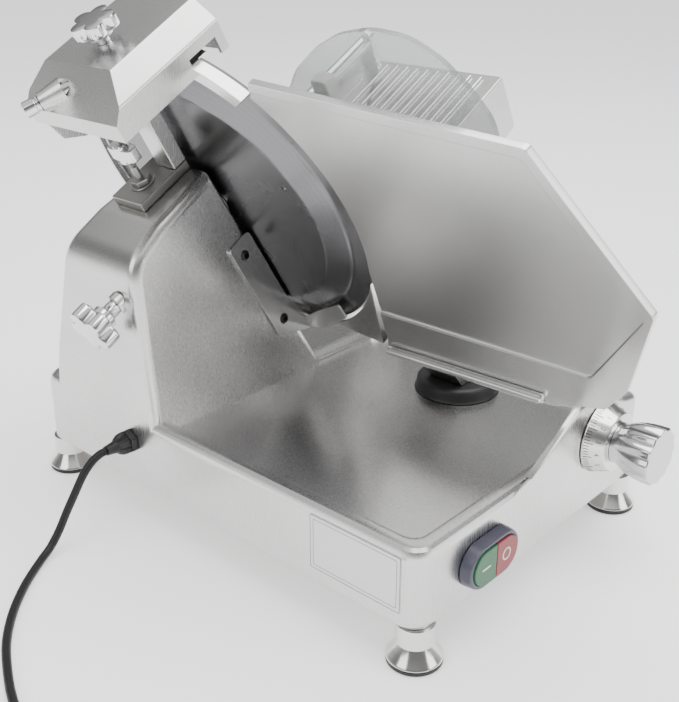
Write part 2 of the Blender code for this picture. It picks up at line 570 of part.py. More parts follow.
# ---------------------------------------------------------------- carriage and pusher
def make_carriage():
    rows = []
    for i in range(RIB_COUNT):
        middle = TABLE_FRONT + 20 * MM + i * RIB_PITCH
        rows += [(middle - 2 * MM, TABLE_TOP), (middle - 1 * MM, TABLE_TOP + RIB_HEIGHT),
                 (middle + 1 * MM, TABLE_TOP + RIB_HEIGHT), (middle + 2 * MM, TABLE_TOP)]
    fence = TABLE_TOP + 22 * MM
    outline = [(TABLE_FRONT, TABLE_TOP - TABLE_PLATE), (TABLE_FRONT, TABLE_TOP)] + rows
    outline += [(TABLE_REAR - 4 * MM, TABLE_TOP), (TABLE_REAR - 4 * MM, fence), (TABLE_REAR, fence),
                (TABLE_REAR, TABLE_TOP - TABLE_PLATE)]
    table = prism("carriage_table", outline, TABLE_NEAR, TABLE_FAR, parent=blade_frame)
    skirt = [(s * MM, v * MM) for s, v in
             [(110, -101), (307, -101), (307, -160), (285, -160), (150, -118), (110, -108)]]
    boolean(table, prism("table_skirt", skirt, -TABLE_FRONT - 4 * MM, -TABLE_FRONT, parent=side_frame,
                         collection=cutters), "UNION")
    arm = [(x * MM, z * MM) for x, z in
           [(138, 240.8), (178, 262.9), (192, 200), (192, 76), (164, 76), (164, 185)]]
    prism("carriage_arm", arm, 60 * MM, 120 * MM, plane="XZ")
    block = box("slide_block", (RAIL_X - 14 * MM, 55 * MM, RAIL_Z - 15 * MM),
                (RAIL_X + 14 * MM, 125 * MM, 76 * MM - GAP), mat=ZINC)
    boolean(block, rod("block_bore", RAIL_R + GAP, -300 * MM, 300 * MM, turn=ALONG_Y,
                       location=(RAIL_X, 0, RAIL_Z), collection=cutters))
    half_rail = (RAIL_REAR - RAIL_FRONT) / 2
    rod("guide_rod", RAIL_R, -half_rail + GAP, half_rail - GAP, turn=ALONG_Y,
        location=(RAIL_X, (RAIL_FRONT + RAIL_REAR) / 2, RAIL_Z), mat=STEEL)
    carrier = box("rail_carrier", (BASE_X + GAP, RAIL_FRONT - 10 * MM, RAIL_Z - 12 * MM),
                  (RAIL_X + 12 * MM, RAIL_REAR + 12 * MM, RAIL_Z + 12 * MM))
    boolean(carrier, box("rail_window", (BASE_X + 5 * MM, RAIL_FRONT, RAIL_Z - 20 * MM),
                         (RAIL_X + 20 * MM, RAIL_REAR, RAIL_Z + 20 * MM), collection=cutters))
    knob_frame = empty("arm_knob_frame", machine, (192 * MM + GAP, 90 * MM, 110 * MM),
                       Matrix.Rotation(radians(90), 3, "Y"))
    knob = prism("arm_knob", lobed(12 * MM, 18 * MM, 5), 8 * MM, 24 * MM, parent=knob_frame, mat=PLASTIC)
    boolean(knob, rod("arm_knob_stem", 6 * MM, 0, 9 * MM, parent=knob_frame, collection=cutters), "UNION")


def make_hand_guard():
    """Clear shield beside the gauge plate, carried by the table's front edge."""
    low, high = 14 * MM, 18 * MM
    outline = [(-64, -90), (-64, 40), (-100, 92)]
    outline += [(-131, 129), (-158, 149), (-185, 163), (-216, 170), (-245, 167), (-266, 153),
                (-280, 135), (-292, 112), (-290, 60), (-250, -60), (-230, -90)]
    guard = prism("hand_guard", [(x * MM, y * MM) for x, y in outline], low, high, parent=blade_frame,
                  mat=CLEAR)
    hole = (-141 * MM, 105 * MM, 0)
    boolean(guard, rod("guard_hole", 3 * MM + GAP, 0, 40 * MM, parent=blade_frame, location=hole, steps=12,
                       collection=cutters))
    lug = box("guard_lug", (-110 * MM, -102.5 * MM, high + GAP),
              (TABLE_FRONT + 1 * MM, -84 * MM, high + 8 * MM), parent=blade_frame, collection=cutters)
    boolean(bpy.data.objects["carriage_table"], lug, "UNION")


def make_pusher():
    rail_u, rail_v = 94 * MM, -60 * MM
    rod("pusher_rod", 5 * MM, 20 * MM, 290 * MM, parent=blade_frame, location=(rail_u, rail_v, 0), steps=16)
    for low in (12 * MM, 290 * MM + GAP):
        lug = box("pusher_rod_lug", (TABLE_REAR - 14 * MM, TABLE_TOP - 1 * MM, low),
                  (TABLE_REAR, -50 * MM, low + 8 * MM - GAP), parent=blade_frame, collection=cutters)
        boolean(bpy.data.objects["carriage_table"], lug, "UNION")
    place = {"parent": blade_frame, "location": (rail_u, rail_v, 0)}
    sleeve("pusher_sleeve", 5 * MM + GAP, 7 * MM, 20 * MM + GAP, 56 * MM, mat=PLASTIC, **place)
    plate = box("pusher_plate", (-40 * MM, -92 * MM, 34 * MM), (80 * MM, -12 * MM, 40 * MM), parent=blade_frame)
    hub = rod("pusher_hub", 12 * MM, 23 * MM, 53 * MM, collection=cutters, **place)
    link = box("pusher_link", (70 * MM, -66 * MM, 34 * MM), (86 * MM, -54 * MM, 40 * MM), parent=blade_frame,
               collection=cutters)
    boolean(plate, hub, "UNION")
    boolean(plate, link, "UNION")
    boolean(plate, rod("pusher_bore", 7 * MM + GAP, 10 * MM, 70 * MM, collection=cutters, **place))
    grip = [(0, 72 * MM), (9 * MM, 72 * MM), (12 * MM, 62 * MM), (9 * MM, 47 * MM), (7 * MM, 40 * MM + GAP),
            (0, 40 * MM + GAP)]
    turned("pusher_grip", grip, parent=blade_frame, location=(10 * MM, -40 * MM, 0), mat=PLASTIC)


# ---------------------------------------------------------------- mains cord
CORD_ROUTE = [(-179.8, 91, 72.6), (-184, 91, 72.4), (-192.5, 91.3, 69), (-202, 92, 60), (-211, 93.3, 45.8),
              (-220, 94.5, 31.5), (-229, 94.8, 17.4), (-240, 93, 7.2), (-254, 87, 3.7), (-280, 68.5, 3.5),
              (-305, 45.5, 3.5), (-326, 20, 3.5), (-342, -7, 3.5), (-355, -34, 3.5), (-364, -62, 3.5),
              (-368.5, -92, 3.5), (-369.5, -119.3, 3.5)]


def smooth_path(points, step):
    """A Catmull-Rom curve through points, sampled evenly."""
    points = [Vector(p) * MM for p in points]
    ends = [points[0] * 2 - points[1]] + points + [points[-1] * 2 - points[-2]]
    fine = []
    for a, b, c, d in zip(ends, ends[1:], ends[2:], ends[3:]):
        for i in range(24):
            t = i / 24
            fine.append(0.5 * (2 * b + (c - a) * t + (2 * a - 5 * b + 4 * c - d) * t * t
                               + (3 * b - a - 3 * c + d) * t ** 3))
    fine.append(points[-1])
    path, run = [fine[0]], 0.0
    for before, after in zip(fine, fine[1:]):
        run += (after - before).length
        if run >= step:
            path.append(after)
            run = 0.0
    path[-1] = fine[-1]
    return path


def make_cord():
    place = (-BASE_X, GLAND_Y, GLAND_Z)
    turned("cord_gland", [(0, 26 * MM), (4.2 * MM, 26 * MM), (7 * MM, 9 * MM), (11 * MM, 9 * MM),
                          (11 * MM, GAP), (8 * MM, GAP), (8 * MM, -12 * MM), (0, -12 * MM)],
           location=place, turn=ALONG_X, mat=PLASTIC, steps=18)
    tube("mains_cord", smooth_path(CORD_ROUTE, 8 * MM), CORD_R)
    ring = [(COIL_R + COIL_HALF_WIDTH, COIL_HEIGHT), (COIL_R + COIL_HALF_WIDTH, 0),
            (COIL_R - COIL_HALF_WIDTH, 0), (COIL_R - COIL_HALF_WIDTH, COIL_HEIGHT)]
    turned("cord_coil", ring + ring[:1], location=COIL_CENTRE, mat=RUBBER, steps=32)
    make_plug(COIL_CENTRE.x - COIL_R - 4 * MM, COIL_CENTRE.y + 52 * MM)


def make_plug(plug_x, plug_y):
    """Plug with a tapered sleeve, lying beside the coil with its blades towards the rear."""
    plug = box("mains_plug", (plug_x - 13 * MM, plug_y + 20 * MM, 0),
               (plug_x + 13 * MM, plug_y + 52 * MM, 22 * MM), mat=RUBBER, bevel=3 * MM)
    towards_rear = Matrix.Rotation(radians(-90), 3, "X")
    collar = turned("plug_relief", [(0, 22 * MM), (7 * MM, 22 * MM), (4.5 * MM, 0), (0, 0)],
                    location=(plug_x, plug_y, 7 * MM), turn=towards_rear, steps=16, collection=cutters)
    boolean(plug, collar, "UNION")
    for offset, height in ((-6, 14), (6, 14), (0, 7)):
        low = Vector((plug_x + (offset - 1) * MM, plug_y + 50 * MM, (height - 3) * MM))
        size = Vector((2 * MM, 18 * MM, 6 * MM))
        boolean(plug, box(f"plug_blade_{offset}", low, low + size, collection=cutters), "UNION")


make_base()
make_feet()
make_blade()
make_drive()
make_guard()
make_deflector()
make_sharpener()
make_gauge()
make_dial()
make_switch()
make_carriage()
make_hand_guard()
make_pusher()
make_cord()
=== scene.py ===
"""Looks of a table-top deli slicer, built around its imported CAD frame.

Lengths in this script are millimetres. Each piece is modelled in a frame of its own, and its mesh is then
brought into the row frame in metres.
"""

import json
from math import acos, atan2, cos, degrees, hypot, pi, radians, sin, sqrt, tan

import bmesh
import bpy
from mathutils import Matrix, Vector

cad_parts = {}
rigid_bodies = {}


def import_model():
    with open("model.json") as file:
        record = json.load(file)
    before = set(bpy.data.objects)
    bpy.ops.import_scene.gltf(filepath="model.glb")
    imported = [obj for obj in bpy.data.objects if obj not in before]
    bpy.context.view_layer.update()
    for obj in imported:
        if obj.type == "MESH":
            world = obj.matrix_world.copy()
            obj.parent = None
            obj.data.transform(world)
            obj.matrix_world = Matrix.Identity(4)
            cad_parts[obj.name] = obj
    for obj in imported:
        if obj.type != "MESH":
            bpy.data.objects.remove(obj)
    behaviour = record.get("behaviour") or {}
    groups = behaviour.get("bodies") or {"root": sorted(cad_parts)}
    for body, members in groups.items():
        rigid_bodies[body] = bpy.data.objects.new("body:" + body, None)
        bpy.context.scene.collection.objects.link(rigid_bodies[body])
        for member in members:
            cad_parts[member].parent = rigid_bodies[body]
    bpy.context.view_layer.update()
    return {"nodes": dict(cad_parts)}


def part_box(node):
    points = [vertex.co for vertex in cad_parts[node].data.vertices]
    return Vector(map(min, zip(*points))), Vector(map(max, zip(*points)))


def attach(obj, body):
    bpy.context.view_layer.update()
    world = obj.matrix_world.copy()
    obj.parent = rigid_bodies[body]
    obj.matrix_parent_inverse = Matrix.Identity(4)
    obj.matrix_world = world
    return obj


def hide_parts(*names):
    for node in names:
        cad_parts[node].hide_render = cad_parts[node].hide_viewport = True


for thing in list(bpy.data.objects):
    bpy.data.objects.remove(thing, do_unlink=True)
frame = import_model()

# ---------------------------------------------------------------- frames
MM = 0.001
TO_METRES = Matrix.Scale(MM, 4)


def mid(node):
    """Centre of a node's box in millimetres."""
    low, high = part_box(node)
    return (low + high) / 2 / MM


base_mid = mid("base_casting")
MACHINE = TO_METRES @ Matrix.Translation((base_mid.x, base_mid.y, 0))  # floor, midway between the feet
BLADE_TILT = radians(29)
BLADE_CENTRE = Vector((-31.6, 90.4, 264.9))
UP_BLADE = Vector((-sin(BLADE_TILT), 0, cos(BLADE_TILT)))
BLADE_AXIS = Vector((cos(BLADE_TILT), 0, sin(BLADE_TILT)))
BLADE_TURN = Matrix((Vector((0, 1, 0)), UP_BLADE, BLADE_AXIS)).transposed()
BLADE = MACHINE @ Matrix.Translation(BLADE_CENTRE) @ BLADE_TURN.to_4x4()  # x rearwards, y up the blade


# From outlines given as (along the blade's axis, up the blade); heights run towards the front.
ACROSS = Matrix(((0, 0, -1, 0), (0, 1, 0, 0), (1, 0, 0, 0), (0, 0, 0, 1)))


def turned_frame(parent, origin, axis, angle):
    """A frame turned about one of its parent's axes."""
    return parent @ Matrix.Translation(origin) @ Matrix.Rotation(radians(angle), 4, axis)


def beside(origin=(0, 0, 0), parent=MACHINE):
    """x along the parent's x, y up, z towards the parent's -y."""
    return turned_frame(parent, origin, "X", 90)


# ---------------------------------------------------------------- camera
CAMERA_PLACE = (-618.46, -568.07, 502.42)
CAMERA_HEADING, CAMERA_DROP = -47.87, 23.81
CAMERA_LENS = 54.13


def make_camera():
    data = bpy.data.cameras.new("camera")
    camera = bpy.data.objects.new("camera", data)
    bpy.context.scene.collection.objects.link(camera)
    turn = Matrix.Rotation(radians(CAMERA_HEADING), 4, "Z") @ Matrix.Rotation(radians(90 - CAMERA_DROP), 4, "X")
    camera.matrix_world = Matrix.Translation(MACHINE @ Vector(CAMERA_PLACE)) @ turn
    data.lens = CAMERA_LENS
    data.clip_start, data.clip_end = 0.01, 50
    bpy.context.scene.camera = camera


make_camera()


# ---------------------------------------------------------------- mesh tools
def arc(radius, start, end, steps, centre=(0, 0)):
    """Points on a round stretch, angles in degrees."""
    points = []
    for i in range(steps + 1):
        angle = radians(start + (end - start) * i / steps)
        points.append((centre[0] + radius * cos(angle), centre[1] + radius * sin(angle)))
    return points


def round_rect(low, high, radius, steps=6):
    """Outline of a rectangle with round corners."""
    (x0, y0), (x1, y1) = low, high
    corners = [(x1 - radius, y1 - radius, 0), (x0 + radius, y1 - radius, 90),
               (x0 + radius, y0 + radius, 180), (x1 - radius, y0 + radius, 270)]
    outline = []
    for x, y, turn in corners:
        outline += arc(radius, turn, turn + 90, steps, (x, y))
    return outline


def softened(outline, radius, steps=5):
    """The outline with its corners rounded; radius is one size or one for each corner."""
    count = len(outline)
    sizes = [radius] * count if isinstance(radius, (int, float)) else radius
    rounded = []
    for i, size in enumerate(sizes):
        before, here, after = (Vector(outline[(i + k) % count]) for k in (-1, 0, 1))
        back, ahead = (before - here), (after - here)
        half = acos(max(-1, min(1, back.normalized().dot(ahead.normalized())))) / 2
        reach = min(size / tan(half), back.length * 0.48, ahead.length * 0.48) if size else 0
        if reach < 0.02:
            rounded.append(tuple(here))
            continue
        start, end = here + back.normalized() * reach, here + ahead.normalized() * reach
        for k in range(steps + 1):
            t = k / steps
            rounded.append(tuple(start * (1 - t) ** 2 + here * 2 * t * (1 - t) + end * t * t))
    return rounded


def loft(loops, closed=False):
    """A skin through loops of equal count; the ends are capped, or joined when closed."""
    work = bmesh.new()
    rings = [[work.verts.new(p) for p in loop] for loop in loops]
    pairs = list(zip(rings, rings[1:])) + ([(rings[-1], rings[0])] if closed else [])
    count = len(rings[0])
    for low, high in pairs:
        for i in range(count):
            j = (i + 1) % count
            work.faces.new((low[i], low[j], high[j], high[i]))
    if not closed:
        work.faces.new(list(reversed(rings[0])))
        work.faces.new(rings[-1])
    bmesh.ops.remove_doubles(work, verts=work.verts, dist=0.001)
    bmesh.ops.recalc_face_normals(work, faces=work.faces)
    return work


def prism(outline, low, high):
    """A flat outline made thick along z."""
    return loft([[(x, y, z) for x, y in outline] for z in (low, high)])


def block(low, high):
    return prism([(low[0], low[1]), (high[0], low[1]), (high[0], high[1]), (low[0], high[1])], low[2], high[2])


def lathe(profile, steps=64):
    """A turned shape about z; the profile may start and end on the axis, or close on itself."""
    closed = profile[0] == profile[-1]
    points = profile[:-1] if closed else profile
    loops = []
    for radius, height in points:
        size = max(radius, 0.0005)
        loops.append([(size * cos(2 * pi * i / steps), size * sin(2 * pi * i / steps), height)
                      for i in range(steps)])
    return loft(loops, closed)


def hull(points):
    """The convex solid round some points."""
    work = bmesh.new()
    for p in points:
        work.verts.new(p)
    made = bmesh.ops.convex_hull(work, input=work.verts)
    loose = [v for v in made["geom_interior"] if isinstance(v, bmesh.types.BMVert)]
    bmesh.ops.delete(work, geom=loose, context="VERTS")
    bmesh.ops.dissolve_limit(work, angle_limit=radians(1), verts=work.verts, edges=work.edges)
    bmesh.ops.recalc_face_normals(work, faces=work.faces)
    return work


def solid(work, place, name="shape"):
    """An object from a bmesh, with its place taken into the mesh."""
    mesh = bpy.data.meshes.new(name)
    work.transform(place)
    work.to_mesh(mesh)
    work.free()
    made = bpy.data.objects.new(name, mesh)
    bpy.context.scene.collection.objects.link(made)
    return made


def settle(thing):
    """The same object with its modifiers taken into its mesh."""
    bpy.context.view_layer.update()
    mesh = bpy.data.meshes.new_from_object(thing.evaluated_get(bpy.context.evaluated_depsgraph_get()))
    thing.modifiers.clear()
    old = thing.data
    thing.data = mesh
    if old.users == 0:
        bpy.data.meshes.remove(old)
    return thing


def combine(thing, other, operation="DIFFERENCE"):
    """Cuts, joins or intersects two closed solids."""
    modifier = thing.modifiers.new("boolean", "BOOLEAN")
    modifier.operation, modifier.solver, modifier.object = operation, "EXACT", other
    settle(thing)
    bpy.data.objects.remove(other, do_unlink=True)
    return thing


def join(thing, *others):
    """Puts separate solids into one object."""
    work = bmesh.new()
    for each in (thing, *others):
        work.from_mesh(each.data)
    work.to_mesh(thing.data)
    work.free()
    for each in others:
        bpy.data.objects.remove(each, do_unlink=True)
    return thing


def ease(thing, width, segments=3, angle=30):
    """Breaks the sharp edges with a small round."""
    work = bmesh.new()
    work.from_mesh(thing.data)
    bmesh.ops.remove_doubles(work, verts=work.verts, dist=0.002 * MM)
    bmesh.ops.dissolve_limit(work, angle_limit=radians(0.2), verts=work.verts, edges=work.edges)
    work.to_mesh(thing.data)
    work.free()
    modifier = thing.modifiers.new("edges", "BEVEL")
    modifier.width, modifier.segments = width * MM, segments
    modifier.limit_method, modifier.angle_limit = "ANGLE", radians(angle)
    modifier.use_clamp_overlap = True
    return settle(thing)


def shade(thing, angle=32):
    """Smooth shading that keeps flat faces flat."""
    thing.data.shade_smooth()
    thing.data.set_sharp_from_angle(angle=radians(angle))
    modifier = thing.modifiers.new("normals", "WEIGHTED_NORMAL")
    modifier.keep_sharp = True
    modifier.weight = 80
    return settle(thing)


def piece(name, thing, finish, body, replaces=(), angle=32):
    """Names, paints and hangs a finished solid on its body."""
    shade(thing, angle)
    thing.name = name
    thing.data.name = name
    thing.data.materials.clear()
    thing.data.materials.append(finish)
    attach(thing, body)
    if replaces:
        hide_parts(*([replaces] if isinstance(replaces, str) else replaces))
    return thing


# ---------------------------------------------------------------- material tools
def colour(code):
    """sRGB hex to linear."""
    channels = [int(code[i:i + 2], 16) / 255 for i in (1, 3, 5)]
    return (*[c / 12.92 if c <= 0.04045 else ((c + 0.055) / 1.055) ** 2.4 for c in channels], 1)


def add(tree, kind, settings=None, links=None):
    """A node with its settings, and its inputs set to values or joined to outputs."""
    node = tree.nodes.new(kind)
    for key, value in (settings or {}).items():
        setattr(node, key, value)
    for key, value in (links or {}).items():
        socket = node.inputs[key]
        if isinstance(value, bpy.types.NodeSocket):
            tree.links.new(value, socket)
        else:
            socket.default_value = value
    return node


def start(name, tint, metallic, roughness, **sockets):
    """A Principled material; returns it with its tree and shader."""
    made = bpy.data.materials.new(name)
    made.use_nodes = True
    tree = made.node_tree
    shader = tree.nodes["Principled BSDF"]
    shader.inputs["Base Color"].default_value = colour(tint)
    shader.inputs["Metallic"].default_value = metallic
    shader.inputs["Roughness"].default_value = roughness
    for key, value in sockets.items():
        shader.inputs[key.replace("_", " ")].default_value = value
    return made, tree, shader


def mapped(tree, place=None, scale=(1, 1, 1)):
    """Object coordinates in millimetres, in a frame of the piece, stretched by scale."""
    coords = add(tree, "ShaderNodeTexCoord").outputs["Object"]
    if place is None:
        place = TO_METRES
    undo = place.inverted()
    turn, size = undo.to_quaternion().to_euler(), undo.to_scale()
    shifted = add(tree, "ShaderNodeMapping", {"vector_type": "POINT"}, {
        "Vector": coords, "Location": undo.to_translation(), "Rotation": turn, "Scale": size}).outputs[0]
    return add(tree, "ShaderNodeVectorMath", {"operation": "MULTIPLY"}, {0: shifted, 1: scale}).outputs[0]


def spread(tree, value, low, high, least=0.3, most=0.7):
    """Brings a texture's value into a range."""
    return add(tree, "ShaderNodeMapRange", {}, {
        "Value": value, "From Min": least, "From Max": most, "To Min": low, "To Max": high}).outputs[0]


def brushed(name, tint, dark, place, grain, roughness, depth, cloud=0.012, across=(0.02, 1.2, 1.2)):
    """Metal finished with an abrasive: fine scratches along one axis over a slow, cloudy tone."""
    made, tree, shader = start(name, tint, 1, roughness)
    fine = add(tree, "ShaderNodeTexNoise", {}, {
        "Vector": mapped(tree, place, across), "Scale": grain, "Detail": 3, "Roughness": 0.6}).outputs[0]
    slow = add(tree, "ShaderNodeTexNoise", {}, {
        "Vector": mapped(tree, place), "Scale": cloud, "Detail": 2}).outputs[0]
    tone = add(tree, "ShaderNodeMix", {"data_type": "RGBA"}, {
        "Factor": spread(tree, slow, 0, 1), "A": colour(dark), "B": colour(tint)}).outputs["Result"]
    tree.links.new(tone, shader.inputs["Base Color"])
    tree.links.new(spread(tree, fine, roughness * 0.93, roughness * 1.07), shader.inputs["Roughness"])
    bump = add(tree, "ShaderNodeBump", {}, {"Height": fine, "Strength": 0.06, "Distance": depth * MM})
    tree.links.new(bump.outputs[0], shader.inputs["Normal"])
    return made


def grained(name, tint, roughness, grain, depth, metallic=0.0, variation=0.85):
    """A moulded or cast skin with an even fine grain."""
    made, tree, shader = start(name, tint, metallic, roughness)
    noise = add(tree, "ShaderNodeTexNoise", {}, {
        "Vector": mapped(tree), "Scale": 1 / grain, "Detail": 2}).outputs[0]
    tone = add(tree, "ShaderNodeMix", {"data_type": "RGBA", "blend_type": "MULTIPLY"}, {
        "Factor": 1.0, "A": colour(tint)})
    shade_of = spread(tree, noise, variation, 1)
    tree.links.new(shade_of, tone.inputs["B"])
    tree.links.new(tone.outputs["Result"], shader.inputs["Base Color"])
    tree.links.new(spread(tree, noise, roughness * 0.9, min(1, roughness * 1.15)), shader.inputs["Roughness"])
    bump = add(tree, "ShaderNodeBump", {}, {"Height": noise, "Strength": 0.3, "Distance": depth * MM})
    tree.links.new(bump.outputs[0], shader.inputs["Normal"])
    return made


# ---------------------------------------------------------------- finishes
# Sand-cast aluminium, satin belt-polished: a soft grey sheen, slightly cloudy, with fine upright scratches.
CAST = brushed("belt_polished_cast_aluminium", "#d9d8d7", "#cfcecd", MACHINE, 2.2, 0.27, 0.003,
               across=(1.2, 1.2, 0.012))
# Rolled aluminium plate, fine-brushed and clear anodised: paler and smoother than the casting.
PLATE = brushed("anodised_brushed_aluminium", "#dededd", "#d5d5d4", BLADE, 2.4, 0.25, 0.002,
                across=(1.0, 0.012, 1.0))
# Machined aluminium bar: tight lathe lines, bright.
BRIGHT = grained("turned_aluminium", "#e2e1df", 0.16, 0.6, 0.001, 1.0, 0.97)
# Buffed aluminium: nearly a mirror, a little greyer than chromium.
POLISHED = grained("buffed_aluminium", "#cfcfd0", 0.12, 2.0, 0.0005, 1.0, 0.97)
# Chromium plate on zinc: mirror bright.
CHROME = grained("chrome_plate", "#e8e8ea", 0.07, 2.5, 0.0005, 1.0, 0.98)
# Zinc-plated steel fixings: greyer, duller.
ZINC = grained("zinc_plated_steel", "#a9a8a4", 0.36, 0.5, 0.01, 1.0, 0.8)
# Black-oxide screws: dark with an oily sheen.
BLACK_OXIDE = grained("black_oxide_steel", "#3b3a39", 0.32, 0.4, 0.005, 0.9, 0.8)
# Vulcanised rubber: deep black, soft and dull.
RUBBER = grained("black_rubber", "#0c0c0c", 0.52, 0.35, 0.02)
# Moulded ABS: black with a slight grain.
ABS = grained("black_abs", "#1b1b1c", 0.38, 0.3, 0.01)
# Vitrified abrasive wheel: open, gritty and dry.
STONE = grained("vitrified_abrasive", "#a39c8f", 0.92, 0.5, 0.12, 0, 0.6)
# Nylon: milky white block.
NYLON = grained("white_nylon", "#e8e6e0", 0.42, 1.2, 0.01)
# Switch surround: charcoal blue polycarbonate.
SURROUND = grained("charcoal_polycarbonate", "#4c4d5c", 0.32, 0.4, 0.006)
GREEN = grained("green_polycarbonate", "#2f6a46", 0.4, 0.8, 0.004)
RED = grained("red_polycarbonate", "#93363b", 0.4, 0.8, 0.004)
WHITE_INK = grained("white_print", "#e9ede8", 0.5, 1.0, 0.001)
BLACK_INK = grained("black_engraving", "#1d1d1d", 0.6, 1.0, 0.001)
# Blank metallised film: bright and faintly wavy.
FILM = grained("metallised_film", "#dedede", 0.34, 6, 0.002, 0.7, 0.97)
FILM_EDGE = grained("label_border_ink", "#2a2a2a", 0.6, 1, 0.001)


def blade_steel():
    """Hardened chrome steel, turned and polished: dark mirror with very fine rings about its axis."""
    made, tree, shader = start("polished_blade_steel", "#6b6b6e", 1, 0.2)
    coords = mapped(tree, BLADE, (1, 1, 0))
    reach = add(tree, "ShaderNodeVectorMath", {"operation": "LENGTH"}, {0: coords}).outputs["Value"]
    rings = add(tree, "ShaderNodeTexNoise", {"noise_dimensions": "1D"}, {
        "W": reach, "Scale": 1.1, "Detail": 4}).outputs[0]
    slow = add(tree, "ShaderNodeTexNoise", {}, {"Vector": mapped(tree, BLADE), "Scale": 0.02}).outputs[0]
    tone = add(tree, "ShaderNodeMix", {"data_type": "RGBA"}, {
        "Factor": spread(tree, rings, 0, 1), "A": colour("#757477"), "B": colour("#808082")}).outputs["Result"]
    tree.links.new(tone, shader.inputs["Base Color"])
    tree.links.new(spread(tree, slow, 0.2, 0.3), shader.inputs["Roughness"])
    bump = add(tree, "ShaderNodeBump", {}, {"Height": rings, "Strength": 0.1, "Distance": 0.001 * MM})
    tree.links.new(bump.outputs[0], shader.inputs["Normal"])
    return made


def clear_sheet(name, tint, see_through, roughness):
    """Clear sheet: mostly lets the view through, with a grey body and a gloss on top."""
    made, tree, shader = start(name, tint, 0, roughness, IOR=1.49)
    clear = add(tree, "ShaderNodeBsdfTransparent", {}, {"Color": colour("#f4f6f5")}).outputs[0]
    smoke = add(tree, "ShaderNodeTexNoise", {}, {"Vector": mapped(tree), "Scale": 0.02}).outputs[0]
    amount = spread(tree, smoke, see_through * 0.97, see_through)
    mixed = add(tree, "ShaderNodeMixShader", {}, {0: amount, 1: shader.outputs[0], 2: clear}).outputs[0]
    tree.links.new(mixed, tree.nodes["Material Output"].inputs["Surface"])
    return made


BLADE_STEEL = blade_steel()
# Cast acrylic: clear with a faint grey body; its sawn and flamed edges look frosted and darker.
ACRYLIC = clear_sheet("clear_cast_acrylic", "#c4c6c6", 0.62, 0.08)
ACRYLIC_EDGE = clear_sheet("flamed_acrylic_edge", "#8f9292", 0.35, 0.2)


# ---------------------------------------------------------------- mains cord
CORD_R = 3.5
CORD_ROUTE = [(-179.8, 91, 72.6), (-184, 91, 72.4), (-192.5, 91.3, 69), (-202, 92, 60), (-211, 93.3, 45.8),
              (-220, 94.5, 31.5), (-229, 94.8, 17.4), (-240, 93, 7.2), (-254, 87, 3.7), (-280, 68.5, 3.5),
              (-305, 45.5, 3.5), (-326, 20, 3.5), (-342, -7, 3.5), (-355, -34, 3.5), (-364, -62, 3.5),
              (-368.5, -92, 3.5)]
COIL_CENTRE = Vector((-414, -150))
COIL_INNER, COIL_OUTER = 33.2, 46.8  # centrelines of the first and last turns in a layer
COIL_TURNS, TURN_POINTS = 5.5, 28
PLUG_ENTRY = Vector((-458, -98, 7))


def smooth_path(points, step):
    """A Catmull-Rom curve through points, sampled evenly."""
    points = [Vector(p) for p in points]
    ends = [points[0] * 2 - points[1]] + points + [points[-1] * 2 - points[-2]]
    path = [points[0]]
    for a, b, c, d in zip(ends, ends[1:], ends[2:], ends[3:]):
        count = max(1, round((c - b).length / step))
        for i in range(1, count + 1):
            t = i / count
            path.append(0.5 * (2 * b + (c - a) * t + (2 * a - 5 * b + 4 * c - d) * t * t
                               + (3 * b - a - 3 * c + d) * t ** 3))
    return path


def ramp(value, low, high):
    """0 below low, 1 above high, smooth between."""
    t = max(0.0, min(1.0, (value - low) / (high - low)))
    return t * t * (3 - 2 * t)


def coil_point(turns):
    """Place on the winding: in, up, out, up and in again, a diameter apart."""
    span = COIL_OUTER - COIL_INNER
    climb = 0.2
    first = COIL_OUTER - span * min(turns, 2) / 2
    second = span * max(0, min(turns - 2 - climb, 2)) / 2
    third = span * max(0, turns - 4 - 2 * climb) / 2
    height = CORD_R * (1 + 2 * ramp(turns, 2, 2 + climb) + 2 * ramp(turns, 4 + climb, 4 + 2 * climb))
    angle = -2 * pi * turns
    radius = first + second - third
    return Vector((COIL_CENTRE.x + radius * cos(angle), COIL_CENTRE.y + radius * sin(angle), height))


def cord_path():
    """Route along the floor, winding, and tail to the plug."""
    count = round(COIL_TURNS * TURN_POINTS)
    winding = [coil_point(COIL_TURNS * i / count) for i in range(count + 1)]
    last = winding[-1]
    tail = [last, Vector((PLUG_ENTRY.x, PLUG_ENTRY.y - 27, last.z - 1)),
            Vector((PLUG_ENTRY.x, PLUG_ENTRY.y - 12, (last.z + PLUG_ENTRY.z) / 2)), PLUG_ENTRY]
    lead = smooth_path(CORD_ROUTE + [winding[1], winding[3]], 5)
    return lead + winding[4:] + smooth_path(tail, 4)[1:]


def make_cord():
    path = cord_path()
    curve = bpy.data.curves.new("mains_flex", "CURVE")
    curve.dimensions = "3D"
    curve.bevel_depth = CORD_R * MM
    curve.bevel_resolution = 3
    curve.use_fill_caps = True
    spline = curve.splines.new("POLY")
    spline.points.add(len(path) - 1)
    for point, place in zip(spline.points, path):
        point.co = (*(MACHINE @ place), 1)
    flex = bpy.data.objects.new("mains_flex", curve)
    bpy.context.scene.collection.objects.link(flex)
    curve.materials.append(RUBBER)
    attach(flex, "machine")
    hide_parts("mains_cord", "cord_coil")
    return flex, path


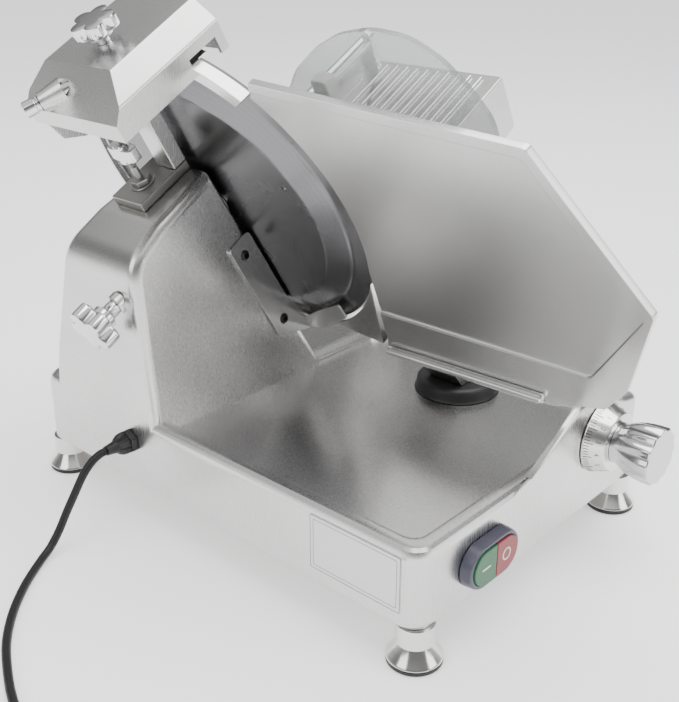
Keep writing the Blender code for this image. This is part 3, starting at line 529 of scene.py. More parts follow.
# ---------------------------------------------------------------- plug and gland
def make_plug():
    """Moulded plug with grip ridges, a tapered sleeve and three pins."""
    place = MACHINE @ Matrix.Translation(PLUG_ENTRY)
    along = turned_frame(place, (0, 0, 0), "X", -90)  # z towards the rear
    body_low, body_high = (-13, 20, -7), (13, 52, 15)
    outline = [(-8, 20), (8, 20), (13, 30), (13, 50), (11, 52), (-11, 52), (-13, 50), (-13, 30)]
    plug = ease(solid(prism(softened(outline, 4), body_low[2], body_high[2]), place), 2.2, 4)
    for height in (34, 39, 44):
        for side in (-1, 1):
            groove = solid(block((side * 13 - 1, height, -20), (side * 13 + 1, height + 2, 20)), place)
            combine(plug, groove)
    sleeve_rings = [(0, 22), (7, 22), (7, 20)]
    for i in range(6):
        top = 18 - i * 3
        sleeve_rings += [(6.8 - i * 0.4, top), (6.8 - i * 0.4, top - 1.8), (6.0 - i * 0.4, top - 2.1),
                         (6.0 - i * 0.4, top - 2.9)]
    sleeve_rings += [(4.0, 0), (0, 0)]
    sleeve = solid(lathe(sleeve_rings, 40), along)
    plug = join(plug, sleeve)
    piece("plug_body", plug, RUBBER, "machine", "mains_plug")
    pins = None
    for offset, height in ((-6, 7), (6, 7), (0, 0)):
        pin = ease(solid(block((offset - 1, 51, height - 3), (offset + 1, 68, height + 3)), place), 0.5, 2)
        pins = pin if pins is None else join(pins, pin)
    piece("plug_pins", pins, ZINC, "machine")
    return ["plug_body", "plug_pins"]


def make_gland():
    """Hexagonal cable gland with a ribbed nut and a tapered boot."""
    low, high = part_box("cord_gland")
    entry = MACHINE.inverted() @ Vector((high.x, (low.y + high.y) / 2, (low.z + high.z) / 2))
    place = MACHINE @ Matrix.Translation((-153, entry.y, entry.z)) @ Matrix.Rotation(radians(-90), 4, "Y")
    hexagon = softened([(11 * cos(radians(60 * i)), 11 * sin(radians(60 * i))) for i in range(6)], 1.2, 3)
    nut = ease(solid(prism(hexagon, 0.3, 6), place), 0.7, 3)
    ribs = [((9 + 0.5 * cos(i * pi / 2)) * cos(pi * i / 36), (9 + 0.5 * cos(i * pi / 2)) * sin(pi * i / 36))
            for i in range(72)]
    dome = loft([[(x * k, y * k, z) for x, y in ribs] for k, z in
                 ((1, 6.2), (1, 9), (0.94, 11.5), (0.8, 14), (0.66, 15.5))])
    cap = solid(dome, place)
    boot = solid(lathe([(0, 26), (4.1, 26), (4.6, 22), (5.4, 17), (5.8, 15), (0, 15)], 32), place)
    gland = join(nut, cap, boot)
    piece("cable_gland", gland, ABS, "machine", "cord_gland")
    return "cable_gland"


flex, flex_path = make_cord()
plug_pieces = make_plug()
gland_piece = make_gland()

# ---------------------------------------------------------------- base casting
BASE_X, BASE_Y = 153, 218
FOOT_TOP, LIP_TOP, TRAY = 33.3, 98, 88
FEET_X, FEET_Y = 139, 206
TOWER_FACE, TOWER_TOP = -15, 37


def rim(inset, height, radius):
    """Outer outline of the base, moved in."""
    outline = round_rect((inset - BASE_X, inset - BASE_Y), (BASE_X - inset, BASE_Y - inset), radius, 8)
    return [(x, y, height) for x, y in outline]


def tray(inset, height, radius):
    """Outline of the tray, moved in."""
    outline = round_rect((inset - 139, inset - 204), (139 - inset, 66 - inset), radius, 8)
    return [(x, y, height) for x, y in outline]


def slab():
    """Base with a round-topped lip and a tray whose floor runs up softly into the lip."""
    loops = [rim(7, 35.2, 12), rim(7, FOOT_TOP, 12), rim(1.6, FOOT_TOP, 15), rim(0.4, 33.9, 16),
             rim(0, 35.5, 16), rim(0, 88, 16), rim(0.5, 92, 15.6), rim(2, 95.4, 14.5), rim(4.4, 97.4, 12.5),
             rim(7, LIP_TOP, 10.5)]
    loops += [tray(-2.4, LIP_TOP, 12), tray(-0.4, 97.2, 12), tray(0.8, 95.2, 12), tray(1.8, 91.6, 12),
              tray(2.8, 89.6, 12), tray(4, 88.35, 12), tray(5.2, TRAY, 12)]
    return loft(loops)


def tower():
    """Motor tower: leaning sides, a slanted blade face and a big round shoulder."""
    corner = BLADE_CENTRE + BLADE_AXIS * TOWER_FACE + UP_BLADE * TOWER_TOP
    shoulder_x = 32 - BASE_X
    shoulder_z = corner.z - (corner.x - shoulder_x) * tan(BLADE_TILT)
    foot_x = corner.x + (corner.z - 60) * tan(BLADE_TILT)
    front = softened([(-BASE_X, 60), (foot_x, 60), (corner.x, corner.z), (shoulder_x, shoulder_z),
                      (-BASE_X, shoulder_z - 26)], [0, 0, 5, 34, 34], 8)
    side = softened([(53.2, 60), (203, 60), (193, 126), (163, 230), (140, 306), (77.8, 306)],
                    [0, 0, 60, 90, 0, 0], 8)
    block_place = MACHINE @ Matrix.Translation((0, 40, 0)) @ Matrix.Rotation(radians(90), 4, "X")
    shape = solid(prism(front, -190, 0), block_place)
    turn = Matrix(((0, 0, 1, 0), (1, 0, 0, 0), (0, 1, 0, 0), (0, 0, 0, 1)))
    combine(shape, solid(prism(side, -BASE_X - 10, 100), MACHINE @ turn), "INTERSECT")
    return round_edges(shape, 9, 6, 35)


def round_edges(thing, width, segments, angle):
    """A generous cast radius along the main edges."""
    work = bmesh.new()
    work.from_mesh(thing.data)
    bmesh.ops.remove_doubles(work, verts=work.verts, dist=0.005 * MM)
    bmesh.ops.dissolve_limit(work, angle_limit=radians(0.1), verts=work.verts, edges=work.edges)
    work.to_mesh(thing.data)
    work.free()
    modifier = thing.modifiers.new("cast_edges", "BEVEL")
    modifier.width, modifier.segments = width * MM, segments
    modifier.limit_method, modifier.angle_limit = "ANGLE", radians(angle)
    modifier.use_clamp_overlap = False
    return settle(thing)


SLOPE_NORMAL = Vector((-0.218, 0.910, 0.353))  # the wall's inner side leans back and opens to the right


def dial_boss():
    """Raised front wall that carries the dial."""
    front = softened([(-60, 60), (153, 60), (153, 107), (122, 113), (78, 131), (48, 133), (-14, 102), (-60, 93)],
                     [0, 0, 10, 40, 16, 18, 60, 0], 10)
    place = MACHINE @ Matrix.Rotation(radians(90), 4, "X")
    shape = solid(prism(front, 168, 218), place)
    crease = Vector((6, -204, TRAY))
    slope = MACHINE @ Matrix.Translation(crease) @ SLOPE_NORMAL.to_track_quat("Z", "Y").to_matrix().to_4x4()
    combine(shape, solid(block((-300, -300, 0), (300, 300, 100)), slope))
    plan = round_rect((-BASE_X, -BASE_Y), (BASE_X, BASE_Y), 16, 8)
    combine(shape, solid(prism(plan, 40, 200), MACHINE), "INTERSECT")
    return round_edges(shape, 4.5, 5, 40)


def make_base():
    base = solid(slab(), MACHINE)
    combine(base, tower(), "UNION")
    combine(base, dial_boss(), "UNION")
    piece("base_body", base, CAST, "machine", "base_casting", 24)
    tie_collar = solid(lathe([(4.4, -136), (9, -136), (9, -142.4), (8, -143.6), (4.4, -143.6), (4.4, -136)], 48),
                       BLADE)
    piece("tie_rod_collar", tie_collar, BRIGHT, "machine")


def make_feet():
    cone = [(0, 33), (14.5, 33), (14.5, 17.6), (14, 16.8), (13.2, 16.5), (14.6, 14), (17.2, 10), (20.2, 6),
            (20.9, 5), (21, 4.4), (0, 4.4)]
    sole = [(0, 4.2), (20.6, 4.2), (21, 3.7), (20.7, 0.7), (20, 0), (0, 0)]
    for side, y in (("front", -FEET_Y), ("rear", FEET_Y)):
        for hand, x in (("left", -FEET_X), ("right", FEET_X)):
            place = MACHINE @ Matrix.Translation((x, y, 0))
            piece(f"cone_foot_{side}_{hand}", solid(lathe(cone, 72), place), BRIGHT, "machine",
                  f"foot_{side}_{hand}")
            piece(f"foot_sole_{side}_{hand}", solid(lathe(sole, 72), place), RUBBER, "machine",
                  f"pad_{side}_{hand}")


# ---------------------------------------------------------------- blade and guard
def make_blade():
    """Dished blade: flat back, ground bevel, and a keen edge."""
    profile = [(9, -9), (105, -9), (109.5, -8.4), (129, -1.6), (133, -0.9), (149.9, 0), (150, -0.1), (150, -0.35),
               (136, -2.3), (133.6, -2.9), (132.4, -3.6), (131, -4.6), (113.5, -11.3), (111.5, -11.85),
               (109, -12), (9, -12), (9, -9)]
    blade = solid(lathe(profile, 256), BLADE)
    for u, v in ((-94, 34), (94, -34)):
        combine(blade, solid(lathe([(0, 5), (2.2, 5), (2.2, -20), (0, -20)], 24),
                             BLADE @ Matrix.Translation((u, v, 0))))
    piece("round_blade", blade, BLADE_STEEL, "blade_unit", "blade", 20)
    cover = [(0, 1), (86, -0.6), (88, -0.9), (90.5, -2), (92, -4), (92, -5.5), (32, -5.5), (32, -3.4), (0, -3.4)]
    plate = solid(lathe(cover, 160), BLADE)
    for turn in (30, 150, 270):
        x, y = 62 * cos(radians(turn)), 62 * sin(radians(turn))
        combine(plate, solid(lathe([(0, 3), (5, 3), (5, -1.6), (0, -1.6)], 32), BLADE @ Matrix.Translation((x, y, 0))))
    piece("blade_front_cover", plate, PLATE, "machine", "blade_cover")


def make_guard_ring():
    """Ring guard round the blade, with an inward flange at its free end and a foot below."""
    outline = arc(151.8, -155, 112, 120) + arc(155, 112, -118, 110) + [(-121.6, -142.6)]
    ring = ease(solid(prism(outline, -6, 3.5), BLADE), 0.7, 2, 50)
    skirt = arc(152.2, 106, 129.5, 14) + arc(155, 129.5, 106, 14)
    end = solid(prism(skirt, -16.5, -5.5), BLADE)
    flange = arc(144.5, 106.5, 128.5, 12) + arc(153, 129.2, 106.5, 12)
    combine(end, solid(prism(flange, -16.5, -14.2), BLADE), "UNION")
    end = ease(end, 0.5, 2, 50)
    piece("ring_guard", join(ring, end), BRIGHT, "machine", "guard_ring")


def make_deflector():
    """Bent slice deflector with a finger under the blade, and its two screws."""
    face = turned_frame(turned_frame(MACHINE, (0, 57, 98), "X", -degrees(atan2(0.10, 1))), (0, 0, 0), "X", 90)
    outline = softened([(-54, 123), (-31, 136.5), (6, 69), (20, 54), (38, 38), (31, 30), (-6, 33)],
                       [3, 5, 20, 6, 2, 2, 4])
    plate = solid(prism(outline, 0.3, 2.5), face)
    for x, z in ((-37, 116), (1, 48)):
        combine(plate, solid(lathe([(0, 6), (4.9, 6), (4.9, -1), (0, -1)], 32), face @ Matrix.Translation((x, z, 0))))
    plate = ease(plate, 0.5, 2)
    finger = softened([(-32, -152), (-58, -143), (-91, -118), (-88, -102), (-56, -121), (-32, -138)], 2.5, 3)
    tip = ease(solid(prism(finger, -9, -7), BLADE), 0.4, 2)
    piece("deflector_plate", join(plate, tip), PLATE, "machine", "slice_deflector")
    for name, x, z in (("upper", -37, 116), ("lower", 1, 48)):
        head = [(0, 4.4), (3.2, 4.2), (4.3, 3), (4.5, 2), (4.5, 0.4), (0, 0.4)]
        screw = solid(lathe(head, 36), face @ Matrix.Translation((x, z, 0)))
        socket = solid(prism([(2.1 * cos(radians(60 * i)), 2.1 * sin(radians(60 * i))) for i in range(6)], 2, 6),
                       face @ Matrix.Translation((x, z, 0)))
        combine(screw, socket)
        piece(f"socket_screw_{name}", screw, BLACK_OXIDE, "machine", f"deflector_screw_{name}")


# ---------------------------------------------------------------- knobs
def lobes(root, tip, count, steps=16):
    """Outline of a star knob: broad round lobes with tight hollows."""
    points = []
    for i in range(count * steps):
        angle = 2 * pi * i / (count * steps)
        wave = 0.5 + 0.5 * cos(count * angle)
        points.append((angle, root + (tip - root) * wave ** 0.5))
    return [(r * cos(a), r * sin(a)) for a, r in points]


def star_knob(name, place, root, tip, low, high, stem, finish, body, node, count=5):
    """Die-cast hand knob: crowned lobed head on a stepped hub; stem is (radius, lowest height)."""
    outline = lobes(root, tip, count)
    depth = high - low
    sections = [(0.90, low), (0.975, low + 0.8), (1, low + 2.2), (1, high - depth * 0.22), (0.97, high - depth * 0.1),
                (0.9, high - 0.9), (0.6, high - 0.2)]
    head = loft([[(x * k, y * k, z) for x, y in outline] for k, z in sections])
    hub = [(0, low + 1), (root * 0.82, low + 1), (root * 0.82, low - (low - stem[1]) * 0.35),
           (stem[0] + 0.8, low - (low - stem[1]) * 0.5), (stem[0], low - (low - stem[1]) * 0.6), (stem[0], stem[1]),
           (0, stem[1])]
    knob = join(solid(head, place), solid(lathe(hub, 48), place))
    return piece(name, knob, finish, body, node, 40)


def make_tie_rod():
    rod = [(0, -3.4), (4, -3.8), (4, -146), (0, -146)]
    piece("blade_tie_rod", solid(lathe(rod, 40), BLADE), CHROME, "tie_rod", "tie_rod")
    outward = turned_frame(BLADE, (0, 0, 0), "X", 180)
    star_knob("tie_rod_star_knob", outward, 13, 21, 160, 176, (6.5, 143.9), CHROME, "tie_rod",
              "tie_rod_knob")


# ---------------------------------------------------------------- sharpener
def make_sharpener():
    """Cast hood with bevelled shoulders over the stones, on its square post."""
    def outline(inset, floor):
        corners = [(-60 + inset, floor), (50 - inset, floor), (50 - inset, 158 - inset * 0.3),
                   (34 - inset * 0.4, 175 - inset), (-44 + inset * 0.4, 175 - inset),
                   (-60 + inset, 158 - inset * 0.3)]
        return softened(corners, [0, 0, 4, 3, 3, 4], 4)

    side = BLADE @ ACROSS
    hood = solid(prism(outline(0, 135), -92, 22), BLADE)
    combine(hood, solid(prism([(-66, 190), (-66, 175), (-92, 149), (-120, 149), (-120, 190)], -90, 90), side))
    inside = solid(prism(outline(3, 130), -88, 18), BLADE)
    combine(inside, solid(prism([(-62, 190), (-62, 175), (-88, 149), (-120, 149), (-120, 190)], -90, 90), side))
    combine(hood, inside)
    for low in (-66, 46):
        combine(hood, solid(block((low, 120, -15), (low + 12, 149, 14)), BLADE))
    pin = turned_frame(BLADE, (11, 160, -84), "Y", 150)
    sleeve = solid(lathe([(6.9, 12.5), (7.7, 12.5), (8.1, 8), (9.2, 2), (10.4, -6), (6.9, -6), (6.9, 12.5)], 48), pin)
    combine(hood, solid(lathe([(0, 40), (6.9, 40), (6.9, -16), (0, -16)], 32), pin))
    hood = ease(hood, 1.1, 3, 28)
    apron = [(-92, 148), (-81.5, 111), (-62, 99), (-60, 137), (-88, 152)]
    tab = [(-57.5, 138), (-60, 104), (-50, 104), (-44, 138)]
    for line in (apron, tab):
        flap = solid(prism(softened(line, 1.5, 3), -49.4, -46.6), side)
        hood = join(hood, ease(flap, 0.5, 2))
    piece("hood_casting", join(hood, sleeve), CAST, "sharpener", "sharpener_hood", 26)

    button = [(0, 26), (5.9, 26), (6.5, 25.4), (6.5, 17), (5.6, 16.6), (5.6, 15.2), (6.5, 14.8), (6.5, 13.6),
              (5, 13.2), (5, -24), (0, -24)]
    piece("release_pin", solid(lathe(button, 48), pin), CHROME, "push_pin", "push_pin")
    post = ease(solid(block((8, 46.3, -31), (30, 171.7, -17)), BLADE), 1.0, 3)
    piece("hood_post", post, CAST, "sharpener", "sharpener_post")
    up = turned_frame(BLADE, (-6, 175, -38), "X", -90)
    star_knob("hood_star_knob", up, 12.5, 18, 9, 20, (5, 0.3), CHROME, "hood_knob", "hood_knob")

    wheel = [(0, -8), (17, -8), (18, -9), (18, -14), (17, -15), (6, -15), (6, -19), (4, -19), (4, -58), (0, -58)]
    piece("sharpening_wheel", solid(lathe(wheel, 64), BLADE @ Matrix.Translation((-26, 148, 0))), STONE,
          "grinding_stone", "grinding_stone")
    wheel = [(0, 17.7), (4, 17.7), (4, 14), (11.3, 14), (12, 13.3), (12, 7.7), (11.3, 7), (0, 7)]
    piece("deburring_wheel", solid(lathe(wheel, 64), BLADE @ Matrix.Translation((-20, 150, 0))), STONE,
          "deburring_stone", "deburring_stone")


def make_sharpener_mount():
    mount = ease(solid(block((8, 37.3, -74), (46, 46, -17)), BLADE), 1.2, 3)
    piece("mount_block", mount, ZINC, "machine", "sharpener_mount")
    up = turned_frame(BLADE, (28, 0, -52), "X", -90)
    washer = [(3.6, 47.2), (10.5, 47.2), (11, 46.8), (11, 46.3), (3.6, 46.3), (3.6, 47.2)]
    nut = prism([(9 * cos(radians(60 * i)), 9 * sin(radians(60 * i))) for i in range(6)], 47.2, 52)
    nut = ease(solid(nut, up), 0.7, 2)
    piece("stud_nut", join(nut, solid(lathe(washer, 40), up)), ZINC, "machine", "mount_nut")
    thread = [(0, 118), (2.4, 118)]
    for i in range(44):
        top = 117 - i * 1.25
        thread += [(3.2, top), (2.75, top - 0.62)]
    thread += [(3.2, 61), (3.2, 38), (0, 38)]
    piece("threaded_stud", solid(lathe(thread, 32), up), ZINC, "machine", "lock_stud", 25)
    wings = softened([(5, 6), (-5, 6), (-14.5, 5), (-15, -5), (-5, -6), (5, -6), (15, -5), (14.5, 5)], 3, 4)
    wing = ease(solid(prism(wings, 72, 84), up), 1.4, 3)
    hub = solid(lathe([(3.4, 87), (6.2, 87), (7, 86), (7, 70.5), (6.4, 70), (3.4, 70), (3.4, 87)], 40), up)
    piece("clamp_wing", join(wing, hub), CHROME, "wing_knob", "wing_knob")


# ---------------------------------------------------------------- what repeats
def repeat_tree():
    """Geometry Nodes: copies of a part, each moved and turned one step further than the last."""
    tree = bpy.data.node_groups.new("repeat_part", "GeometryNodeTree")
    for label, kind in (("Geometry", "NodeSocketGeometry"), ("Count", "NodeSocketInt"),
                        ("Step", "NodeSocketVector"), ("Turn", "NodeSocketVector"),
                        ("Finish", "NodeSocketMaterial")):
        tree.interface.new_socket(name=label, in_out="INPUT", socket_type=kind)
    tree.interface.new_socket(name="Geometry", in_out="OUTPUT", socket_type="NodeSocketGeometry")
    given = add(tree, "NodeGroupInput").outputs
    line = add(tree, "GeometryNodeMeshLine", {"mode": "OFFSET"}, {
        "Count": given["Count"], "Offset": given["Step"]}).outputs[0]
    index = add(tree, "GeometryNodeInputIndex").outputs[0]
    turn = add(tree, "ShaderNodeVectorMath", {"operation": "SCALE"}, {
        "Vector": given["Turn"], "Scale": index}).outputs[0]
    copies = add(tree, "GeometryNodeInstanceOnPoints", {}, {
        "Points": line, "Instance": given["Geometry"], "Rotation": turn}).outputs[0]
    real = add(tree, "GeometryNodeRealizeInstances", {}, {"Geometry": copies}).outputs[0]
    painted = add(tree, "GeometryNodeSetMaterial", {}, {
        "Geometry": real, "Material": given["Finish"]}).outputs[0]
    add(tree, "NodeGroupOutput", {}, {"Geometry": painted})
    return tree


REPEAT = repeat_tree()


def repeated(work, place, count, finish, step=(0, 0, 0), turn=(0, 0, 0)):
    """Copies of a part along a line or round its own z axis; turn is in degrees."""
    thing = solid(work, Matrix())
    modifier = thing.modifiers.new("copies", "NODES")
    modifier.node_group = REPEAT
    values = {"Count": count, "Step": step, "Turn": [radians(t) for t in turn], "Finish": finish}
    for item in REPEAT.interface.items_tree:
        if item.in_out == "INPUT" and item.name in values:
            modifier[item.identifier] = values[item.name]
    settle(thing)
    thing.data.transform(place)
    return thing


# ---------------------------------------------------------------- gauge plate
def make_gauge():
    """Gauge plate with a rim cut round the blade, a pocketed back and a rod along its foot."""
    outline = [(-109, 134), (-333, 119), (-398, -2), (-367, -87), (-344, -119), (-326, -124), (-294, -138),
               (-132, -140), (-138, -123)]
    outline = softened(outline, [1, 5, 6, 8, 8, 6, 8, 2, 1], 5) + arc(154.5, 196, 131, 60, (0, 1.7))
    plate = solid(prism(outline, -12, -6), BLADE)
    pocket = softened([(-60, 128.5), (-328, 110.5), (-390, -8), (-338, -86), (-120, -90)], [0, 5, 6, 6, 0], 5)
    combine(plate, solid(prism(pocket, -20, -10), BLADE))
    plate = ease(plate, 0.7, 2, 35)
    lower = [(-148, -91), (-337, -87), (-326, -119), (-296, -121.4), (-140, -127.8)]
    rows = [[(x, y, s) for (x, y), s in zip(lower, (-11.4, -11.4, -12.6, -13.0, -13.0))],
            [(x, y, -10.5) for x, y in lower]]
    band = solid(loft(rows), BLADE)
    start_end = (Vector((-138, -133.4, -15.6)), Vector((-292, -127, -15.6)))
    along = (start_end[1] - start_end[0])
    turn = Vector((0, 0, 1)).rotation_difference(along.normalized()).to_matrix().to_4x4()
    rod_place = BLADE @ Matrix.Translation(start_end[0]) @ turn
    size = along.length
    rod = solid(lathe([(0, -0.5), (3.2, 0), (4.2, 1.2), (4.2, size - 1.2), (3.2, size), (0, size + 0.5)], 40),
                rod_place)
    piece("thickness_plate", join(plate, band, rod), PLATE, "gauge", "gauge_plate", 30)


def make_gauge_post():
    """Cast bracket between the plate and its slide, with a bellows at the tray."""
    outline = softened([(18.4, 163.5), (60, 150), (100, 122), (108, 101), (72, 101), (58, 118), (31, 141)],
                       [2, 14, 14, 3, 3, 10, 10], 6)
    low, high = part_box("gauge_post")
    undo = MACHINE.inverted()
    front, rear = (undo @ low).y, (undo @ high).y
    post = ease(solid(prism(outline, -rear, -front), beside()), 2.5, 4, 35)
    stem_low = (undo @ low).z
    stem = solid(lathe([(0, 104), (13, 104), (13, stem_low), (0, stem_low)], 40),
                 MACHINE @ Matrix.Translation((90, -70, 0)))
    combine(post, stem, "UNION")
    piece("gauge_bracket", post, CAST, "gauge", "gauge_post", 30)
    bellows = [(0, 100.5), (31, 100.5), (34, 99.8), (35.8, 98), (36.4, 95), (36.6, 91.5), (37.2, 89.8), (38, 89),
               (37.6, 88.3), (0, 88.3)]
    piece("slide_bellows", solid(lathe(bellows, 96), MACHINE @ Matrix.Translation((90, -70, 0))), RUBBER, "gauge",
          "post_boot", 40)


# ---------------------------------------------------------------- dial
DIAL_CENTRE = (82, -218, 95)
FLUTES, FLUTE_DEPTH = 12, 1.8
DIAL_BACK, DIAL_EDGE, DIAL_FRONT = 0.8, 30, 24.8
SCALE_LOW, SCALE_HIGH = 2.2, 16.6


def cone_point(around, up, lift=0.0):
    """A point on the scale ring, from a place along it and up it."""
    k = up / (SCALE_HIGH - SCALE_LOW)
    radius = DIAL_EDGE + (DIAL_FRONT - DIAL_EDGE) * k + lift
    return (radius * cos(around), radius * sin(around), SCALE_LOW + up)


def numeral(text, angle, up, size):
    """A flat numeral wrapped on the scale ring."""
    curve = bpy.data.curves.new("numeral", "FONT")
    curve.body, curve.size, curve.align_x, curve.align_y = text, size, "CENTER", "CENTER"
    shape = bpy.data.objects.new("numeral", curve)
    bpy.context.scene.collection.objects.link(shape)
    bpy.context.view_layer.update()
    mesh = bpy.data.meshes.new_from_object(shape)
    bpy.data.objects.remove(shape, do_unlink=True)
    work = bmesh.new()
    work.from_mesh(mesh)
    bpy.data.meshes.remove(mesh)
    bmesh.ops.triangulate(work, faces=work.faces)
    for vert in work.verts:
        vert.co = cone_point(angle + vert.co.x / 27, up + vert.co.y, 0.06)
    return work


def make_dial():
    place = turned_frame(MACHINE, DIAL_CENTRE, "X", 90)
    ring = [(0, 0.3), (27, 0.3), (29, 0.6), (30, DIAL_BACK), (30, SCALE_LOW), (DIAL_FRONT, SCALE_HIGH), (24, 17.6),
            (23, 18), (0, 18)]
    piece("scale_ring", solid(lathe(ring, 128), place), BRIGHT, "dial", "dial_ring", 20)
    short, long = [], []
    for marks, height, width in ((short, 4.2, 0.28), (long, 6.8, 0.34)):
        corners = [cone_point(side * width / 27, up, lift) for lift in (-0.2, 0.05)
                   for side, up in ((-1, 9 - 9), (1, 0), (1, height), (-1, height))]
        marks += [corners[:4], corners[4:]]
    lines = join(repeated(loft(short), place, 75, BLACK_INK, turn=(0, 0, 4.8)),
                 repeated(loft(long), place, 15, BLACK_INK, turn=(0, 0, 24)))
    for number in range(15):
        work = numeral(str(number), radians(90 + 24 * number), 10.2, 5.2)
        lines = join(lines, solid(work, place))
    piece("scale_marks", lines, BLACK_INK, "dial")

    sections = [(17, 18.3), (16.9, 20), (17.4, 22.5), (19.2, 26), (21, 30), (22.4, 35), (23.3, 40), (23.8, 46),
                (24, 52.6), (23.5, 53.6), (22.6, 54)]
    loops = []
    for radius, height in sections:
        shortfall = FLUTE_DEPTH * (1 - ramp(height, 20, 44))
        loop = []
        for i in range(FLUTES * 16):
            across = 2 * (i % 16) / 16 - 1
            cut = max(0, FLUTE_DEPTH * cos(pi * across / 2) ** 1.3 - shortfall)
            angle = 2 * pi * i / (FLUTES * 16)
            loop.append(((radius - cut) * cos(angle), (radius - cut) * sin(angle), height))
        loops.append(loop)
    piece("dial_grip", solid(loft(loops), place), POLISHED, "dial", "dial_knob", 40)


# ---------------------------------------------------------------- switch
SWITCH = (-76, -218, 61)


def stadium(low, high, height, steps=18):
    """Outline with a half-round at one end or both; a square end has its corner points only."""
    points = []
    radius = height / 2
    if high > 0:
        points += arc(radius, -90, 90, steps, (high - radius, 0))
    else:
        points += [(high, -radius), (high, radius)]
    if low < 0:
        points += arc(radius, 90, 270, steps, (low + radius, 0))
    else:
        points += [(low, radius), (low, -radius)]
    return points


def make_switch():
    """Sealed push-button pair in a raised surround."""
    face = beside(SWITCH)
    shell = loft([[(x * k, y * k, z) for x, y in stadium(-31, 31, 36)] for k, z in
                  ((0.99, 0.3), (1, 1), (0.975, 8), (0.955, 9.4), (0.92, 10))])
    shell = solid(shell, face)
    combine(shell, solid(prism(stadium(-27, 27, 28.6), 4.2, 14), face))
    piece("switch_surround", ease(shell, 0.5, 2, 40), SURROUND, "machine", "switch_housing", 30)
    for name, finish, slot, ends, centre in (
            ("start", GREEN, "green_plastic", (-26.5, -0.35), -13), ("stop", RED, "red_plastic", (0.35, 26.5), 12)):
        outline = stadium(*ends, 27.6)
        button = ease(solid(prism(outline, 7.2, 11.4), face), 0.7, 3, 40)
        piece(f"{name}_key", button, finish, f"{name}_button", f"{name}_button")
        if name == "start":
            sign = solid(prism(round_rect((centre - 5, -0.7), (centre + 5, 0.7), 0.5, 3), 11.3, 11.5), face)
        else:
            circle = [(3.9, 11.3), (3.9, 11.5), (5.1, 11.5), (5.1, 11.3), (3.9, 11.3)]
            sign = solid(lathe(circle, 48), face @ Matrix.Translation((centre, 0, 0)))
        piece(f"{name}_sign", sign, WHITE_INK, f"{name}_button")


# ---------------------------------------------------------------- carriage
def make_carriage():
    """Meat table with ribs, a fence, a skirt and lugs for the pusher's rod."""
    table = solid(prism([(-60, -103), (103, -103), (103, -98), (-60, -98)], 6, 307), BLADE)
    fence = solid(prism([(99, -100), (103, -100), (103, -76), (99, -76)], 6, 307), BLADE)
    combine(table, fence, "UNION")
    table = ease(table, 1.2, 3, 40)
    side = BLADE @ ACROSS
    skirt_line = softened([(110, -101), (307, -101), (307, -160), (285, -160), (150, -118), (110, -108)],
                          [2, 3, 8, 10, 30, 3], 5)
    skirt = ease(solid(prism(skirt_line, 56, 60), side), 1, 3, 40)
    lugs = []
    lug_line = softened([(89, -99), (103, -99), (103, -56), (99, -50), (89, -50), (84, -56), (86, -70)],
                        [1, 1, 4, 5, 5, 4, 8], 4)
    for low, high in ((12, 19.7), (290.3, 298)):
        lug = solid(prism(lug_line, low, high), BLADE)
        lugs.append(ease(lug, 1, 3, 40))
    guard_lug = ease(solid(prism(softened([(-110, -102.5), (-59, -102.5), (-59, -92), (-80, -84), (-110, -84)],
                                          [2, 1, 1, 8, 4], 4), 18.3, 26), BLADE), 0.8, 3, 40)
    piece("meat_table", join(table, skirt, guard_lug, *lugs), CAST, "carriage",
          "carriage_table", 30)
    rib = prism(arc(1.7, 180, 0, 8, (0, 0)), 12, 300)
    for vert in rib.verts:
        vert.co.y = vert.co.y * 1.7 - 98.2
    ribs = repeated(rib, BLADE @ Matrix.Translation((-40, 0, 0)), 10, CAST, step=(13.5, 0, 0))
    piece("table_ribs", ribs, CAST, "carriage")

    arm_line = softened([(138, 240.8), (178, 262.9), (192, 200), (192, 76), (164, 76), (164, 185)],
                        [2, 6, 40, 5, 5, 50], 6)
    arm = ease(solid(prism(arm_line, -120, -60), beside()), 2.5, 4, 40)
    piece("table_arm", arm, CAST, "carriage", "carriage_arm", 30)
    rod = [(0, 19.6), (4.3, 20), (5, 20.8), (5, 289.2), (4.3, 290), (0, 290)]
    piece("pusher_guide_rod", solid(lathe(rod, 48), BLADE @ Matrix.Translation((94, -60, 0))), CHROME,
          "carriage", "pusher_rod")


def make_arm_knob():
    outward = turned_frame(MACHINE, (192.3, 90, 110), "Y", 90)
    star_knob("arm_star_knob", outward, 12, 18, 8, 24, (6, 0), ABS, "arm_knob", "arm_knob")


def make_rail():
    """Guide rod for the carriage in its carrier."""
    low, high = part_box("guide_rod")
    half = (high.y - low.y) / 2 / MM
    centre = MACHINE.inverted() @ ((low + high) / 2)
    place = turned_frame(MACHINE, centre, "X", 90)
    rod = [(0, -half), (7, -half), (8, 1 - half), (8, half - 1), (7, half), (0, half)]
    piece("rail_rod", solid(lathe(rod, 48), place), CHROME, "machine", "guide_rod")


